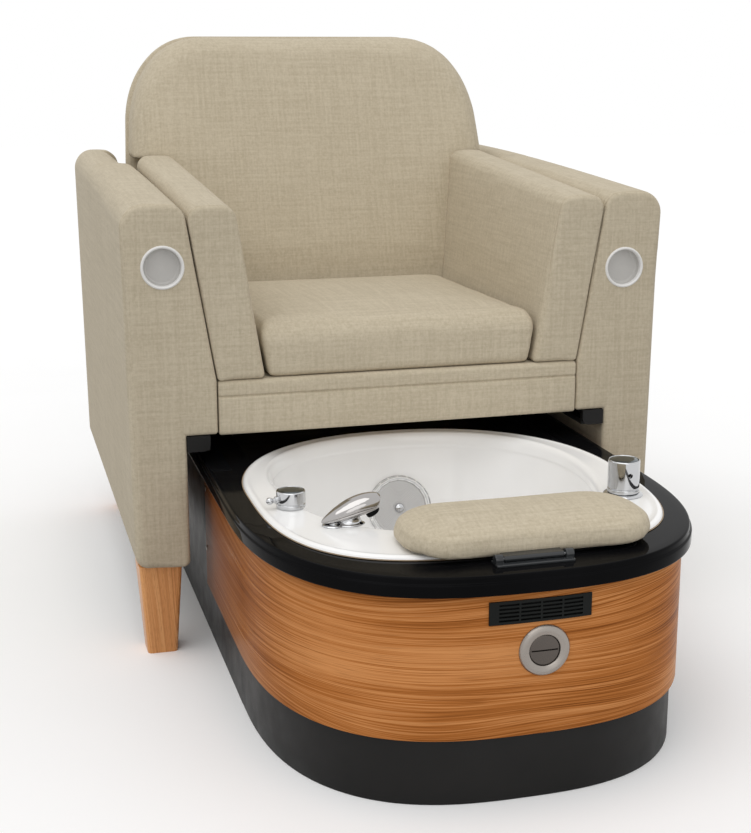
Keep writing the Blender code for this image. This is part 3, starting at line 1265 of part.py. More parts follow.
def make_spray():
    """Pull-out spray: a teardrop head over its dock, a guide stem in the dock and a nozzle underneath."""
    dock = make_collar("spray_dock", SPRAY_PLACE, SPRAY_DOCK_RADIUS, COLLAR_HEIGHT)
    low, high = (*SPRAY_PLACE, DECK_LEVEL - 2 * SHANK_LENGTH), (*SPRAY_PLACE, DECK_LEVEL + SHANK_LENGTH)
    cut(dock, rod(SPRAY_STEM_RADIUS + RUNNING, low, high))
    tail, nose = ((0.0, 0.45), (0.06, 0.62), (0.2, 0.78), (0.4, 0.94)), ((0.6, 1.0), (0.8, 0.9), (0.93, 0.66), (1.0, 0.3))
    head = add("spray_head", loft([spray_ring(*section) for section in tail + nose]), "chrome", "spray")
    share = (SPRAY_TAIL + SPRAY_NOZZLE_PLACE) / (SPRAY_TAIL + SPRAY_REACH)
    centre = Vector((SPRAY_PLACE[0] + SPRAY_NOZZLE_PLACE, SPRAY_PLACE[1], spray_height(share)))
    radius, drop = SPRAY_NOZZLE_RADIUS, SPRAY_THICKNESS / 2 + SPRAY_NOZZLE_DROP
    down = Vector((math.sin(SPRAY_NOZZLE_TILT), 0.0, -math.cos(SPRAY_NOZZLE_TILT)))
    cut(head, rod(radius + CLEAR, centre, centre + down * 2 * drop))
    profile = [(0, CLEAR), (radius, CLEAR), (radius, drop * 0.85), (radius * 0.85, drop), (0, drop)]
    add("spray_nozzle", turned(profile[::-1], centre, down, SMALL_ROUND_STEPS), "jet_grey", "spray")
    joint = spray_height(SPRAY_TAIL / (SPRAY_TAIL + SPRAY_REACH))
    cut(head, rod(SPRAY_STEM_RADIUS + CLEAR, low, (*SPRAY_PLACE, joint)))
    ends = (*SPRAY_PLACE, joint - SPRAY_STEM_LENGTH), (*SPRAY_PLACE, joint - CLEAR)
    add("spray_stem", rod(SPRAY_STEM_RADIUS, *ends, chamfer=0.001), "chrome", "spray")


# Vent, latch and footrest


def make_vent():
    """Slotted plate over the vent window, bent to the veneer's curve."""
    span = VENT_WIDTH - 2 * VENT_FLANGE
    slot = (span - (VENT_COLUMNS - 1) * VENT_BAR) / VENT_COLUMNS
    rows = VENT_HEIGHT - 2 * VENT_BORDER
    gap = (rows - (VENT_ROWS - 1) * VENT_BAR) / VENT_ROWS
    start = TRIM_CENTRE - VENT_WIDTH / 2
    across = [start]
    for k in range(VENT_COLUMNS):
        left = start + VENT_FLANGE + k * (slot + VENT_BAR)
        across += [left, left + slot]
    across.append(start + VENT_WIDTH)
    base = VENT_MIDDLE - VENT_HEIGHT / 2
    upward = [base]
    for k in range(VENT_ROWS):
        low = base + VENT_BORDER + k * (gap + VENT_BAR)
        upward += [low, low + gap]
    upward.append(base + VENT_HEIGHT)
    mesh = bmesh.new()
    grid = [[mesh.verts.new((x, tub_face(x) - CLEAR, z)) for x in across] for z in upward]
    for row in range(len(upward) - 1):
        for column in range(len(across) - 1):
            if row % 2 == 1 and column % 2 == 1:
                continue
            corners = (grid[row][column], grid[row][column + 1], grid[row + 1][column + 1], grid[row + 1][column])
            mesh.faces.new(corners)
    back = bmesh.ops.extrude_face_region(mesh, geom=mesh.faces[:])
    moved = [item for item in back["geom"] if isinstance(item, bmesh.types.BMVert)]
    bmesh.ops.translate(mesh, verts=moved, vec=(0.0, -VENT_PLATE, 0.0))
    bmesh.ops.recalc_face_normals(mesh, faces=mesh.faces)
    add("vent_grille", mesh, "vent_black")


def make_latch():
    """Round bezel in the veneer, the coin-slot disc that turns in it, and the cam on the disc's tail."""
    x, z = LATCH_PLACE
    out = (0, -1, 0)
    face = min(tub_face(x - LATCH_RADIUS), tub_face(x), tub_face(x + LATCH_RADIUS))
    centre = (x, face - CLEAR, z)
    bore = LATCH_DISC_RADIUS + RUNNING
    sleeve = LATCH_DISC_RADIUS + WOOD_THICKNESS / 2
    depth = WOOD_THICKNESS + 0.006
    proud = LATCH_BEZEL_PROUD
    profile = [
        (bore, -depth),
        (bore, proud * 0.5),
        (bore + 0.002, proud * 0.8),
        (LATCH_RADIUS * 0.78, proud),
        (LATCH_RADIUS * 0.94, proud * 0.75),
        (LATCH_RADIUS, 0),
        (sleeve, 0),
        (sleeve, -depth),
    ]
    add("latch_bezel", turned(profile, centre, out, hollow=True), "nickel")
    front = proud * 0.5 - LATCH_DISC_RECESS
    tail = LATCH_SLOT * 2
    end = -depth - LATCH_CAM_THICKNESS - 2 * CLEAR
    profile = [(0, front), (LATCH_DISC_RADIUS - 0.001, front), (LATCH_DISC_RADIUS, front - 0.001)]
    profile += [(LATCH_DISC_RADIUS, -depth), (tail, -depth), (tail, end), (0, end)]
    disc = add("latch_disc", turned(profile, centre, out), "nickel", "latch")
    slot = LATCH_SLOT / 2
    reach = LATCH_DISC_RADIUS * 1.2
    high = centre[1] - front
    cut(disc, block((x - reach, high - 0.01, z - slot), (x + reach, high + LATCH_SLOT, z + slot)))
    half = LATCH_CAM_WIDTH / 2
    corners = [(x - half, z - half), (x + half, z - half), (x + half, z + LATCH_CAM_LENGTH)]
    corners.append((x - half, z + LATCH_CAM_LENGTH))
    outline = rounded_polygon(corners, [half * 0.8] * 4)
    start = centre[1] + depth + CLEAR
    cam = add("latch_cam", prism(outline, "y", start, start + LATCH_CAM_THICKNESS), "steel", "latch")
    cut(cam, rod(tail + CLEAR, (x, start - 0.01, z), (x, start + 0.02, z)))


def make_footrest():
    """Padded footrest on a board whose knuckle turns on a pin between the hinge plate's lugs."""
    low = COUNTER_TOP + CLEAR
    pin_place = (HINGE_PLACE, HINGE_HEIGHT)
    half, lug = HINGE_WIDTH / 2, HINGE_LUG_RADIUS
    front, rear = HINGE_PLACE - HINGE_PLATE_DEPTH / 2, HINGE_PLACE + HINGE_PLATE_DEPTH / 2
    left, right = TRIM_CENTRE - half, TRIM_CENTRE + half
    plate = block((left, front, low), (right, rear, low + HINGE_PLATE))
    hinge = add("footrest_hinge", plate, "black_gloss")
    for start in (left, right - HINGE_LUG_WIDTH):
        arch = [(HINGE_PLACE + lug, low + HINGE_PLATE / 2)]
        for k in range(9):
            angle = k * math.pi / 8
            arch.append((HINGE_PLACE + lug * math.cos(angle), HINGE_HEIGHT + lug * math.sin(angle)))
        arch.append((HINGE_PLACE - lug, low + HINGE_PLATE / 2))
        weld(hinge, prism(arch, "x", start, start + HINGE_LUG_WIDTH))
    cut(hinge, rod(HINGE_PIN_RADIUS + CLEAR, (left - 0.01, *pin_place), (right + 0.01, *pin_place)))
    pin = rod(HINGE_PIN_RADIUS, (left + CLEAR, *pin_place), (right - CLEAR, *pin_place))
    add("footrest_pin", pin, "steel")
    make_footrest_board(pin_place, left, right)
    make_footrest_pad()


def pad_outline(inset):
    """Plan of the footrest pad: a long lozenge with big round corners."""
    x, y = PAD_LENGTH / 2, PAD_DEPTH / 2
    points = rounded_polygon([(-x, -y), (x, -y), (x, y), (-x, y)], [PAD_CORNER] * 4, inset, 6)
    return points + PAD_CENTRE


def make_footrest_board(pin_place, left, right):
    low = PAD_BOARD_TOP - BOARD_THICKNESS
    board = prism(pad_outline(BOARD_INSET), "z", low, PAD_BOARD_TOP)
    board = add("footrest_board", board, "black_satin", "footrest")
    gap = HINGE_LUG_WIDTH + SLACK
    depth, height = pin_place
    radius, underside = HINGE_KNUCKLE, low + BOARD_THICKNESS / 8
    reach = PAD_CENTRE[1] - PAD_DEPTH / 2 + BOARD_INSET + 0.010
    arm = [(depth + 2 * radius, underside), (reach, underside), (reach, PAD_BOARD_TOP - BOARD_THICKNESS / 8)]
    for k in range(9):
        angle = math.pi / 2 + k * math.pi / 8
        arm.append((depth + radius * math.cos(angle), height + radius * math.sin(angle)))
    weld(board, prism(arm, "x", left + gap, right - gap))
    cut(board, rod(HINGE_PIN_RADIUS + RUNNING, (left, *pin_place), (right, *pin_place)))


def make_footrest_pad():
    """Crowned pad: round sides, drawn in a little between its ends, flat where it lies on the board."""
    half = PAD_SIDE
    stations = [(0.0, half * 0.9), (half * 0.25, half * 0.3), (half * 0.65, 0.0), (half * 1.1, half * 0.12)]
    for share in (0.1, 0.25, 0.45, 0.7, 0.9):
        height = half * 1.25 + PAD_CROWN * (1 - (1 - share) ** 2)
        stations.append((height, half * 0.12 + (PAD_DEPTH / 2 - half * 0.12) * share * 0.97))
    rings = []
    for height, inset in stations:
        points = pad_outline(inset)
        along = (points[:, 0] - PAD_CENTRE[0]) / (PAD_LENGTH / 2)
        drawn = 1 - PAD_DRAW / (PAD_DEPTH / 2) * (1 - np.clip(np.abs(along), 0, 1) ** 2)
        points[:, 1] = PAD_CENTRE[1] + (points[:, 1] - PAD_CENTRE[1]) * drawn
        rings.append(lift(points, "z", PAD_UNDERSIDE + height))
    add("footrest_pad", loft(rings), "linen", "footrest")


clear_scene()
FINISHES = make_finishes()
BODIES = make_bodies()
make_shell()
make_seat()
make_backrest()
make_cabinet()
make_basin()
make_jet()
make_drain()
make_mixer()
make_diverter()
make_spray()
make_vent()
make_latch()
make_footrest()
even_shading()
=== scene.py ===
"""Pedicure chair: the looks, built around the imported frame.

Metres, +Z up, the sitter faces -Y. Shapes are worked out in chair coordinates, whose Y starts at the front
plane of the arms, and each mesh is moved back by MIDDLE into the frame's coordinates when it is made.
"""

import json
import math

import bmesh
import bpy
import numpy as np
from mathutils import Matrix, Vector


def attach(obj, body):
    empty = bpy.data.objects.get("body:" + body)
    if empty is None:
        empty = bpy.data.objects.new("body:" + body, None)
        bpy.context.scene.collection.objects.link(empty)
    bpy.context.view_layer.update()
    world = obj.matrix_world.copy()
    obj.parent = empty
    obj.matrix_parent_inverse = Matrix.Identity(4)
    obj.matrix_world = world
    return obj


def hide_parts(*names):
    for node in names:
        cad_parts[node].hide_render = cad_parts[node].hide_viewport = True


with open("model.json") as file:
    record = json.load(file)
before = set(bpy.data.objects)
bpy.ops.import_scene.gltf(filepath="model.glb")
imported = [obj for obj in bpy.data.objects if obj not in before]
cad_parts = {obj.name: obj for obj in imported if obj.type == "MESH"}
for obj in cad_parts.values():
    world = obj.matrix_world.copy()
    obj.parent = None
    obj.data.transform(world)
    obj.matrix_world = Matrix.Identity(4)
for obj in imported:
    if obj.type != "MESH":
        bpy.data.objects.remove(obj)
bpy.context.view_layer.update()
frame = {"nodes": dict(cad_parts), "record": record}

# Sizes of the chair, as in its source
MIDDLE = 0.170
CLEAR = 0.0003
SLACK = 0.002
LEG_HEIGHT = 0.168
ARM_HALF_SPAN = 0.488
ARM_TAPER = 0.006
ARM_HEIGHT = 0.800
ARM_RISE = 0.028
ARM_DEPTH = 1.000
ARM_INNER = 0.3325
LOWER_ARM_INNER = 0.3875
NOTCH_HEIGHT = 0.405
POCKET_START = 0.620
POCKET_HALF_WIDTH = 0.406
LEDGE_DROP = 0.012
REAR_PANEL_FRONT = 0.925
REAR_PANEL_END = 0.970
REAR_PANEL_TOP = 0.790
REAR_SEAM = 0.396
DECK_HEIGHT = 0.4985
SEAT_BASE = DECK_HEIGHT + CLEAR
SEAT_HALF_WIDTH = 0.2445
INNER_FACE = 0.2465
INNER_ARM_OUTER = 0.3265
INNER_ARM_FULL = 0.0040
INNER_ARM_HEIGHT = 0.796
INNER_ARM_RISE = 0.039
INNER_ARM_LEAN = 0.0485
INNER_ARM_FLARE = 0.014
LEAN_SLOPE = INNER_ARM_LEAN / (INNER_ARM_HEIGHT - DECK_HEIGHT)
RAIL_UNDERSIDE = 0.403
RAIL_DEPTH = 0.050
RAIL_HALF_WIDTH = 0.3305
RAIL_SEAM = 0.471
BACK_FRONT = 0.565
BACK_TILT = math.radians(18.0)
TILT_SLOPE = math.tan(BACK_TILT)
BACK_THICKNESS = 0.118
BACK_HALF_WIDTH = 0.3245
BACK_FLARE = 0.8275
SHELL_FLARE = 0.765
TUB_HALF_WIDTH = 0.347
TUB_FRONT = -0.647
TUB_CURVE_DEPTH = 0.430
TUB_CURVE_POWER = 2.72
TUB_BACK = 0.600
WOOD_END = 0.085
WOOD_THICKNESS = 0.012
TOE_HEIGHT = 0.103
TOE_RECESS = 0.008
TOE_THICKNESS = 0.012
TOE_SEAM = -0.217
COUNTER_UNDERSIDE = 0.3227
COUNTER_TOP = 0.352
COUNTER_OVERHANG = 0.013
CUTOUT_INSET = 0.010
BASIN_MIDDLE = -0.200
FLANGE_BASE = 0.3538
DECK_LEVEL = 0.3570
BASIN_WALL = 0.005
BOWL_FLOOR = 0.140
BOWL_LEAN = 0.060
DRAIN_RADIUS = 0.026
JET_RADIUS = 0.060
JET_PLACE = (0.014, 0.07156, 0.222)
JET_AXIS = (0.0, 0.95043, -0.31091)
MIXER_PLACE = (-0.268, -0.290)
MIXER_LEVER_ANGLE = math.radians(190.0)
DIVERTER_PLACE = (0.263, -0.363)
SPRAY_PLACE = (-0.226, -0.397)
PORT_RADIUS = 0.0370
PORTS = {"left_port": (-0.4196, 0.699), "right_port": (0.4171, 0.668)}
TRIM_CENTRE = 0.012
VENT_MIDDLE = 0.293
LATCH_PLACE = (0.0187, 0.231)
LATCH_RADIUS = 0.0385
LATCH_DISC_RADIUS = 0.0225
PAD_CENTRE = (0.031, -0.5145)
PAD_LENGTH = 0.392
PAD_DEPTH = 0.186
PAD_UNDERSIDE = 0.3643
HINGE_PLACE = -0.614
HINGE_HALF_WIDTH = 0.059
HINGE_EAR = 0.0075
HINGE_EAR_WIDTH = 0.012
PORT_HOLE_RADIUS = 0.0335
PORT_HOLE_DEPTH = 0.0405
PORT_DISH_RADIUS = 0.0312
VENT_HALF_WIDTH = 0.073
VENT_LOW = VENT_MIDDLE - 0.0152
VENT_HIGH = VENT_MIDDLE + 0.0140
KNOB_DISH = 0.0022
SPRAY_LENGTH = 0.088
SPRAY_LEVEL = 0.3645
SPRAY_RISE = 0.0245
PAD_SKIRT = 0.0036

# Filling, floor and camera
FILL_STEPS = 20
FILL_PRESSURE = 4.0
EASING_ROUNDS = 14
FLOOR_REACH = 14.0
LENS_LENGTH = 63.98
CAMERA_PLACE = (-0.7257, -2.6316, 1.0564)
CAMERA_PITCH = 0.2447
CAMERA_YAW = 0.2675


# Shader nodes


def node(tree, kind, inputs=None, **settings):
    """Adds a shader node; inputs are values or sockets to link."""
    made = tree.nodes.new("ShaderNode" + kind)
    for key, value in settings.items():
        setattr(made, key, value)
    for key, value in (inputs or {}).items():
        if isinstance(value, bpy.types.NodeSocket):
            tree.links.new(value, made.inputs[key])
        else:
            made.inputs[key].default_value = value
    return made


def finish(name, **constants):
    """A Principled material with constants on its own sockets."""
    made = bpy.data.materials.new(name)
    made.use_nodes = True
    shader = made.node_tree.nodes["Principled BSDF"]
    for key, value in constants.items():
        shader.inputs[key.replace("_", " ")].default_value = value
    return made, made.node_tree, shader


def noise(tree, vector, stretch, detail=2.0):
    """Noise on coordinates scaled per axis, so that its features are about 1 / stretch long."""
    scaled = node(tree, "Mapping", {"Vector": vector, "Scale": stretch})
    values = {"Vector": scaled.outputs[0], "Scale": 1.0, "Detail": detail}
    return node(tree, "TexNoise", values).outputs["Fac"]


def weigh(tree, first, share, second):
    """First times share plus second."""
    return node(tree, "Math", {0: first, 1: share, 2: second}, operation="MULTIPLY_ADD").outputs[0]


def span(tree, factor, low, high, start=0.0, end=1.0):
    """The range from low to high of a factor brought to the range from start to end."""
    values = {"Value": factor, "From Min": low, "From Max": high, "To Min": start, "To Max": end}
    return node(tree, "MapRange", values).outputs["Result"]


def ramp(tree, factor, stops):
    """Colours along a factor; a stop is (position, (red, green, blue))."""
    made = node(tree, "ValToRGB", {"Fac": factor})
    elements = made.color_ramp.elements
    while len(elements) < len(stops):
        elements.new(0.5)
    for element, (position, colour) in zip(elements, stops):
        element.position = position
        element.color = (*colour, 1.0)
    return made.outputs["Color"]


def tint(tree, factor, first, second, mode="MIX"):
    """Two colours mixed by a factor."""
    inputs = {0: factor, 6: first, 7: second}
    return node(tree, "Mix", inputs, data_type="RGBA", blend_type=mode).outputs[2]


def bump(tree, shader, height, distance, strength):
    """Relief of a height on the shader's normal."""
    values = {"Height": height, "Strength": strength, "Distance": distance}
    tree.links.new(node(tree, "Bump", values).outputs[0], shader.inputs["Normal"])


def make_linen(name, lean):
    """Slubby linen: uneven yarns run along all three axes, turned by a lean, so that every side shows a
    crossed weave."""
    made, tree, shader = finish(name, Roughness=0.92, Sheen_Weight=0.06, Specular_IOR_Level=0.2)
    straight = node(tree, "TexCoord").outputs["Object"]
    place = node(tree, "Mapping", {"Vector": straight, "Rotation": (lean, 0.0, 0.0)}).outputs[0]
    slubs = [noise(tree, place, stretch, 3.0) for stretch in ((8, 200, 200), (200, 8, 200), (200, 200, 8))]
    yarns = [noise(tree, place, stretch, 1.0) for stretch in ((70, 900, 900), (900, 70, 900), (900, 900, 70))]
    slub = weigh(tree, slubs[0], 1.0, weigh(tree, slubs[1], 1.0, slubs[2]))
    yarn = weigh(tree, yarns[0], 1.0, weigh(tree, yarns[1], 1.0, yarns[2]))
    weave = weigh(tree, yarn, 0.6, slub)
    tone = span(tree, noise(tree, place, (3.0, 3.0, 3.0)), 0.3, 0.7, -0.08, 0.08)
    share = weigh(tree, span(tree, weave, 2.0, 2.8), 1.0, tone)
    stops = [(0.0, (0.470, 0.405, 0.295)), (0.5, (0.530, 0.460, 0.340)), (1.0, (0.585, 0.513, 0.388))]
    tree.links.new(ramp(tree, share, stops), shader.inputs["Base Color"])
    bump(tree, shader, weave, 0.0005, 0.35)
    return made


def make_wood(name, vector, turn, frequency, dark, middle, light, painted_shade=0.0, **constants):
    """Lacquered wood, its grain along X once the coordinates are turned: growth bands, streaks and fine
    lines are noises drawn far out along the grain, whose place across it is bent by two slow noises, with
    dark pores over them. Towards the rear ends of a panel the colour is darkened by a given share as painted
    shade."""
    made, tree, shader = finish(name, **constants)
    coordinates = node(tree, "TexCoord").outputs
    along = node(tree, "Mapping", {"Vector": coordinates[vector], "Rotation": turn}).outputs[0]
    parts = node(tree, "SeparateXYZ", {"Vector": along}).outputs
    across = weigh(tree, parts["Z"], 0.7, parts["Y"])
    wander = noise(tree, along, (1.0, 8.0, 8.0), 1.0)
    ripple = noise(tree, along, (3.0, 40.0, 40.0))
    level = weigh(tree, wander, 0.09, weigh(tree, ripple, 0.004, across))
    figure = node(tree, "CombineXYZ", {"X": parts["X"], "Y": level}).outputs[0]
    bands = noise(tree, figure, (0.6, frequency, 1.0), 2.0)
    streaks = noise(tree, figure, (1.6, frequency * 2.6, 1.0), 3.0)
    lines = noise(tree, figure, (4.0, frequency * 9.0, 1.0), 2.0)
    pores = noise(tree, along, (16.0, 1300.0, 1300.0), 1.0)
    cloud = noise(tree, along, (1.8, 7.0, 7.0), 2.0)
    grain = weigh(tree, bands, 0.55, weigh(tree, streaks, 0.75, weigh(tree, lines, 1.1, cloud)))
    colour = ramp(tree, span(tree, grain, 1.26, 2.00), [(0.06, dark), (0.50, middle), (0.92, light)])
    colour = tint(tree, span(tree, pores, 0.56, 0.72, 0.0, 0.42), colour, (*dark, 1.0))
    # Painted shade: the colour darkens towards the panel's rear ends, where the panel turns away from the
    # light.
    if painted_shade:
        depth = node(tree, "SeparateXYZ", {"Vector": coordinates["Object"]}).outputs["Y"]
        colour = tint(tree, span(tree, depth, -0.72, -0.20, 0.0, painted_shade), colour, (*dark, 1.0))
    tree.links.new(colour, shader.inputs["Base Color"])
    tree.links.new(span(tree, streaks, 0.3, 0.7, 0.36, 0.26), shader.inputs["Roughness"])
    bump(tree, shader, pores, 0.0002, 0.15)
    return made


def make_moulded(name, colour, variation, rough, grain, depth, **constants):
    """Moulded, painted or metal surface: faint cloudy tone, roughness that drifts, and a fine grain bump."""
    made, tree, shader = finish(name, **constants)
    place = node(tree, "TexCoord").outputs["Object"]
    cloud = noise(tree, place, (6.0, 6.0, 6.0), 3.0)
    low = [channel * (1 - variation) for channel in colour]
    high = [min(channel * (1 + variation), 1.0) for channel in colour]
    tree.links.new(ramp(tree, cloud, [(0.3, low), (0.7, high)]), shader.inputs["Base Color"])
    smear = noise(tree, place, (25.0, 25.0, 25.0), 3.0)
    tree.links.new(span(tree, smear, 0.25, 0.75, rough[0], rough[1]), shader.inputs["Roughness"])
    bump(tree, shader, noise(tree, place, grain, 2.0), depth, 0.4)
    return made


LINEN = make_linen("slub_linen", 0.0)
BACK_LINEN = make_linen("leaning_linen", BACK_TILT)
UPRIGHT = (0.0, math.pi / 2, 0.0)
FLAT = (0.0, 0.0, 0.0)
VENEER = make_wood(
    "honey_veneer",
    "UV",
    FLAT,
    90.0,
    (0.150, 0.040, 0.008),
    (0.475, 0.163, 0.038),
    (0.720, 0.315, 0.112),
    # share of painted shade at the veneer's rear ends
    0.80,
    Specular_IOR_Level=0.02,
)
LEG_WOOD = make_wood(
    "stained_leg_wood",
    "Object",
    UPRIGHT,
    110.0,
    (0.420, 0.150, 0.046),
    (0.690, 0.300, 0.105),
    (0.820, 0.410, 0.165),
    Specular_IOR_Level=0.25,
)
PLYWOOD = make_wood(
    "plywood",
    "Object",
    FLAT,
    60.0,
    (0.330, 0.215, 0.105),
    (0.480, 0.345, 0.190),
    (0.600, 0.460, 0.280),
)
FINE = (900.0, 900.0, 900.0)
BRUSHED = (40.0, 1500.0, 1500.0)
LACQUERED = (60.0, 60.0, 60.0)
POLISHED = (80.0, 80.0, 80.0)
CAST = (40.0, 40.0, 40.0)
BLACK_GLOSS = make_moulded(
    "black_gloss_top",
    (0.0045, 0.0045, 0.005),
    0.25,
    (0.02, 0.05),
    LACQUERED,
    0.00003,
    Specular_IOR_Level=0.025,
)
BLACK_SATIN = make_moulded(
    "satin_black_board", (0.010, 0.0095, 0.009), 0.25, (0.38, 0.52), FINE, 0.0002, Specular_IOR_Level=0.2
)
VENT_BLACK = make_moulded(
    "charcoal_vent", (0.0075, 0.0085, 0.008), 0.15, (0.42, 0.55), FINE, 0.0002, Specular_IOR_Level=0.12
)
ACRYLIC = make_moulded("white_acrylic", (0.955, 0.948, 0.936), 0.012, (0.08, 0.16), CAST, 0.0001)
SEAL = make_moulded("rim_seal_brown", (0.300, 0.215, 0.130), 0.10, (0.40, 0.55), FINE, 0.0002)
CHROME = make_moulded("chrome", (0.560, 0.565, 0.575), 0.03, (0.03, 0.08), POLISHED, 0.00003, Metallic=1.0)
NICKEL = make_moulded(
    "satin_nickel", (0.320, 0.290, 0.262), 0.07, (0.26, 0.38), BRUSHED, 0.0001, Metallic=1.0
)
# Darker copy of the nickel for the latch disc: painted dark reflection.
NICKEL_DISC = make_moulded(
    "nickel_painted_dark_reflection", (0.108, 0.094, 0.084), 0.10, (0.24, 0.34), BRUSHED, 0.0001, Metallic=1.0
)
# Darker copy of the chrome for the spray head: painted dark reflection.
DEEP_CHROME = make_moulded(
    "chrome_painted_dark_reflection", (0.430, 0.415, 0.405), 0.06, (0.02, 0.05), POLISHED, 0.00003, Metallic=1.0
)
SMOKED = make_moulded(
    "smoked_chrome", (0.085, 0.105, 0.118), 0.06, (0.08, 0.16), BRUSHED, 0.00003, Metallic=1.0
)
SMOKED_PLATE = make_moulded("smoked_plate", (0.026, 0.028, 0.030), 0.2, (0.05, 0.12), LACQUERED, 0.00005)
STEEL = make_moulded("plain_steel", (0.430, 0.435, 0.445), 0.05, (0.30, 0.45), BRUSHED, 0.0001, Metallic=1.0)
PORT_WHITE = make_moulded("port_white", (0.780, 0.770, 0.750), 0.02, (0.30, 0.42), FINE, 0.0001)
PORT_GREY = make_moulded("port_dish_grey", (0.520, 0.505, 0.480), 0.05, (0.35, 0.50), FINE, 0.0002)
JET_GREY = make_moulded("jet_grey", (0.600, 0.592, 0.585), 0.05, (0.30, 0.42), FINE, 0.0002)
JET_CLEAR = make_moulded("jet_ring", (0.700, 0.705, 0.705), 0.04, (0.16, 0.26), CAST, 0.0001)
# Dark for the spray nozzle's face, and painted shade behind the vent and inside the diverter's dimple.
DARK = make_moulded(
    "dark_nozzle_and_painted_shade", (0.008, 0.008, 0.008), 0.2, (0.5, 0.7), FINE, 0.0002, Specular_IOR_Level=0.08
)
LOOKS = {
    "linen": LINEN,
    "veneer": VENEER,
    "leg_wood": LEG_WOOD,
    "plywood": PLYWOOD,
    "black_gloss": BLACK_GLOSS,
    "black_satin": BLACK_SATIN,
    "vent_black": VENT_BLACK,
    "acrylic": ACRYLIC,
    "seal": SEAL,
    "chrome": CHROME,
    "nickel": NICKEL,
    "steel": STEEL,
    "port_white": PORT_WHITE,
    "jet_grey": JET_GREY,
}


# Surfaces


def outline(corners, radii, inset=0.0, arc=8, side=6):
    """Closed polygon with rounded corners and evenly cut sides. Each corner moves in along its mitre by
    inset; a convex corner's radius shrinks by inset, a hollow one keeps its radius."""
    corners, radii = np.array(corners, float), np.array(radii, float)
    along = np.roll(corners, -1, axis=0) - corners
    along /= np.linalg.norm(along, axis=1, keepdims=True)
    inward = np.stack([-along[:, 1], along[:, 0]], axis=1)
    before, inward_before = np.roll(along, 1, axis=0), np.roll(inward, 1, axis=0)
    cross = before[:, 0] * along[:, 1] - before[:, 1] * along[:, 0]
    turn = np.arctan2(cross, (before * along).sum(axis=1))
    mitre = (inward_before + inward) / (1 + (inward_before * inward).sum(axis=1, keepdims=True))
    radius = np.where(turn > 0, np.maximum(radii - inset, 0.0004), radii)
    start = corners + inset * mitre - before * (radius * np.tan(np.abs(turn) / 2))[:, None]
    centre = start + (np.sign(turn) * radius)[:, None] * inward_before
    angle = turn[:, None] * np.linspace(0.0, 1.0, arc + 1)
    x, y = (start - centre).T[:, :, None]
    arcs = np.stack([x * np.cos(angle) - y * np.sin(angle), x * np.sin(angle) + y * np.cos(angle)], axis=2)
    arcs += centre[:, None]
    ends, following = arcs[:, -1:], np.roll(arcs[:, :1], -1, axis=0)
    share = np.linspace(0.0, 1.0, side + 2)[1:-1, None]
    return np.concatenate([arcs, ends + (following - ends) * share], axis=1).reshape(-1, 2)


def mirrored(right):
    """A right half outline with its left half added, as one counter-clockwise polygon."""
    return right + [(-x, z) for x, z in reversed(right)]


def rectangle(left, low, right, high):
    """Corners of a rectangle, counter-clockwise."""
    return np.array([(left, low), (right, low), (right, high), (left, high)])


def lift(points, axis, level):
    """Plane points set at a level along one axis."""
    level = np.broadcast_to(level, points.shape[:1])
    first, second = points.T
    order = {"x": (level, first, second), "y": (first, level, second), "z": (first, second, level)}
    return np.stack(order[axis], axis=1)


def capped(rings, front=(0.0, 0.0, 0.0), rear=(0.0, 0.0, 0.0), steps=8):
    """Rings closed at both ends by rings that shrink to the end's middle and bulge as a parabola."""
    rings = np.array(rings)
    share = np.arange(steps)[:, None, None] / steps

    def cap(ring, bulge):
        middle = (ring.min(axis=0) + ring.max(axis=0)) / 2
        return middle + (ring - middle) * share + np.array(bulge) * (1 - share**2)

    return np.concatenate([cap(rings[0], front), rings, cap(rings[-1], rear)[::-1]])


def quarter(radius, steps=6):
    """Stations of a round edge: (distance from the face, inset), from the face to the side."""
    angle = np.linspace(0.0, math.pi / 2, steps + 1)
    return np.stack([radius * (1 - np.cos(angle)), radius * (1 - np.sin(angle))], axis=1)


def closing(end, radius, steps=6, drawn=0.0):
    """Stations of a round edge before an end: (place, inset), from the side to the end's face. All of
    them are drawn in by a further inset."""
    return [(end - away, inset + drawn) for away, inset in quarter(radius, steps)[::-1]]


def smooth_step(value, low, high):
    """0 below low, 1 above high, and a cubic between."""
    share = np.clip((value - low) / (high - low), 0.0, 1.0)
    return share * share * (3 - 2 * share)


def through(keys, steps=6):
    """Rings on a smooth cubic through the key rings."""
    keys = np.array(keys)
    padded = np.concatenate([2 * keys[:1] - keys[1:2], keys, 2 * keys[-1:] - keys[-2:-1]])
    before, start, end, after = padded[:-3], padded[1:-2], padded[2:-1], padded[3:]
    share = (np.arange(steps) / steps)[None, :, None, None]
    before, start, end, after = (part[:, None] for part in (before, start, end, after))
    bend = 2 * before - 5 * start + 4 * end - after
    twist = 3 * start - before - 3 * end + after
    curve = start + 0.5 * share * (end - before + share * (bend + share * twist))
    return np.concatenate([curve.reshape(-1, *keys.shape[1:]), keys[-1:]])


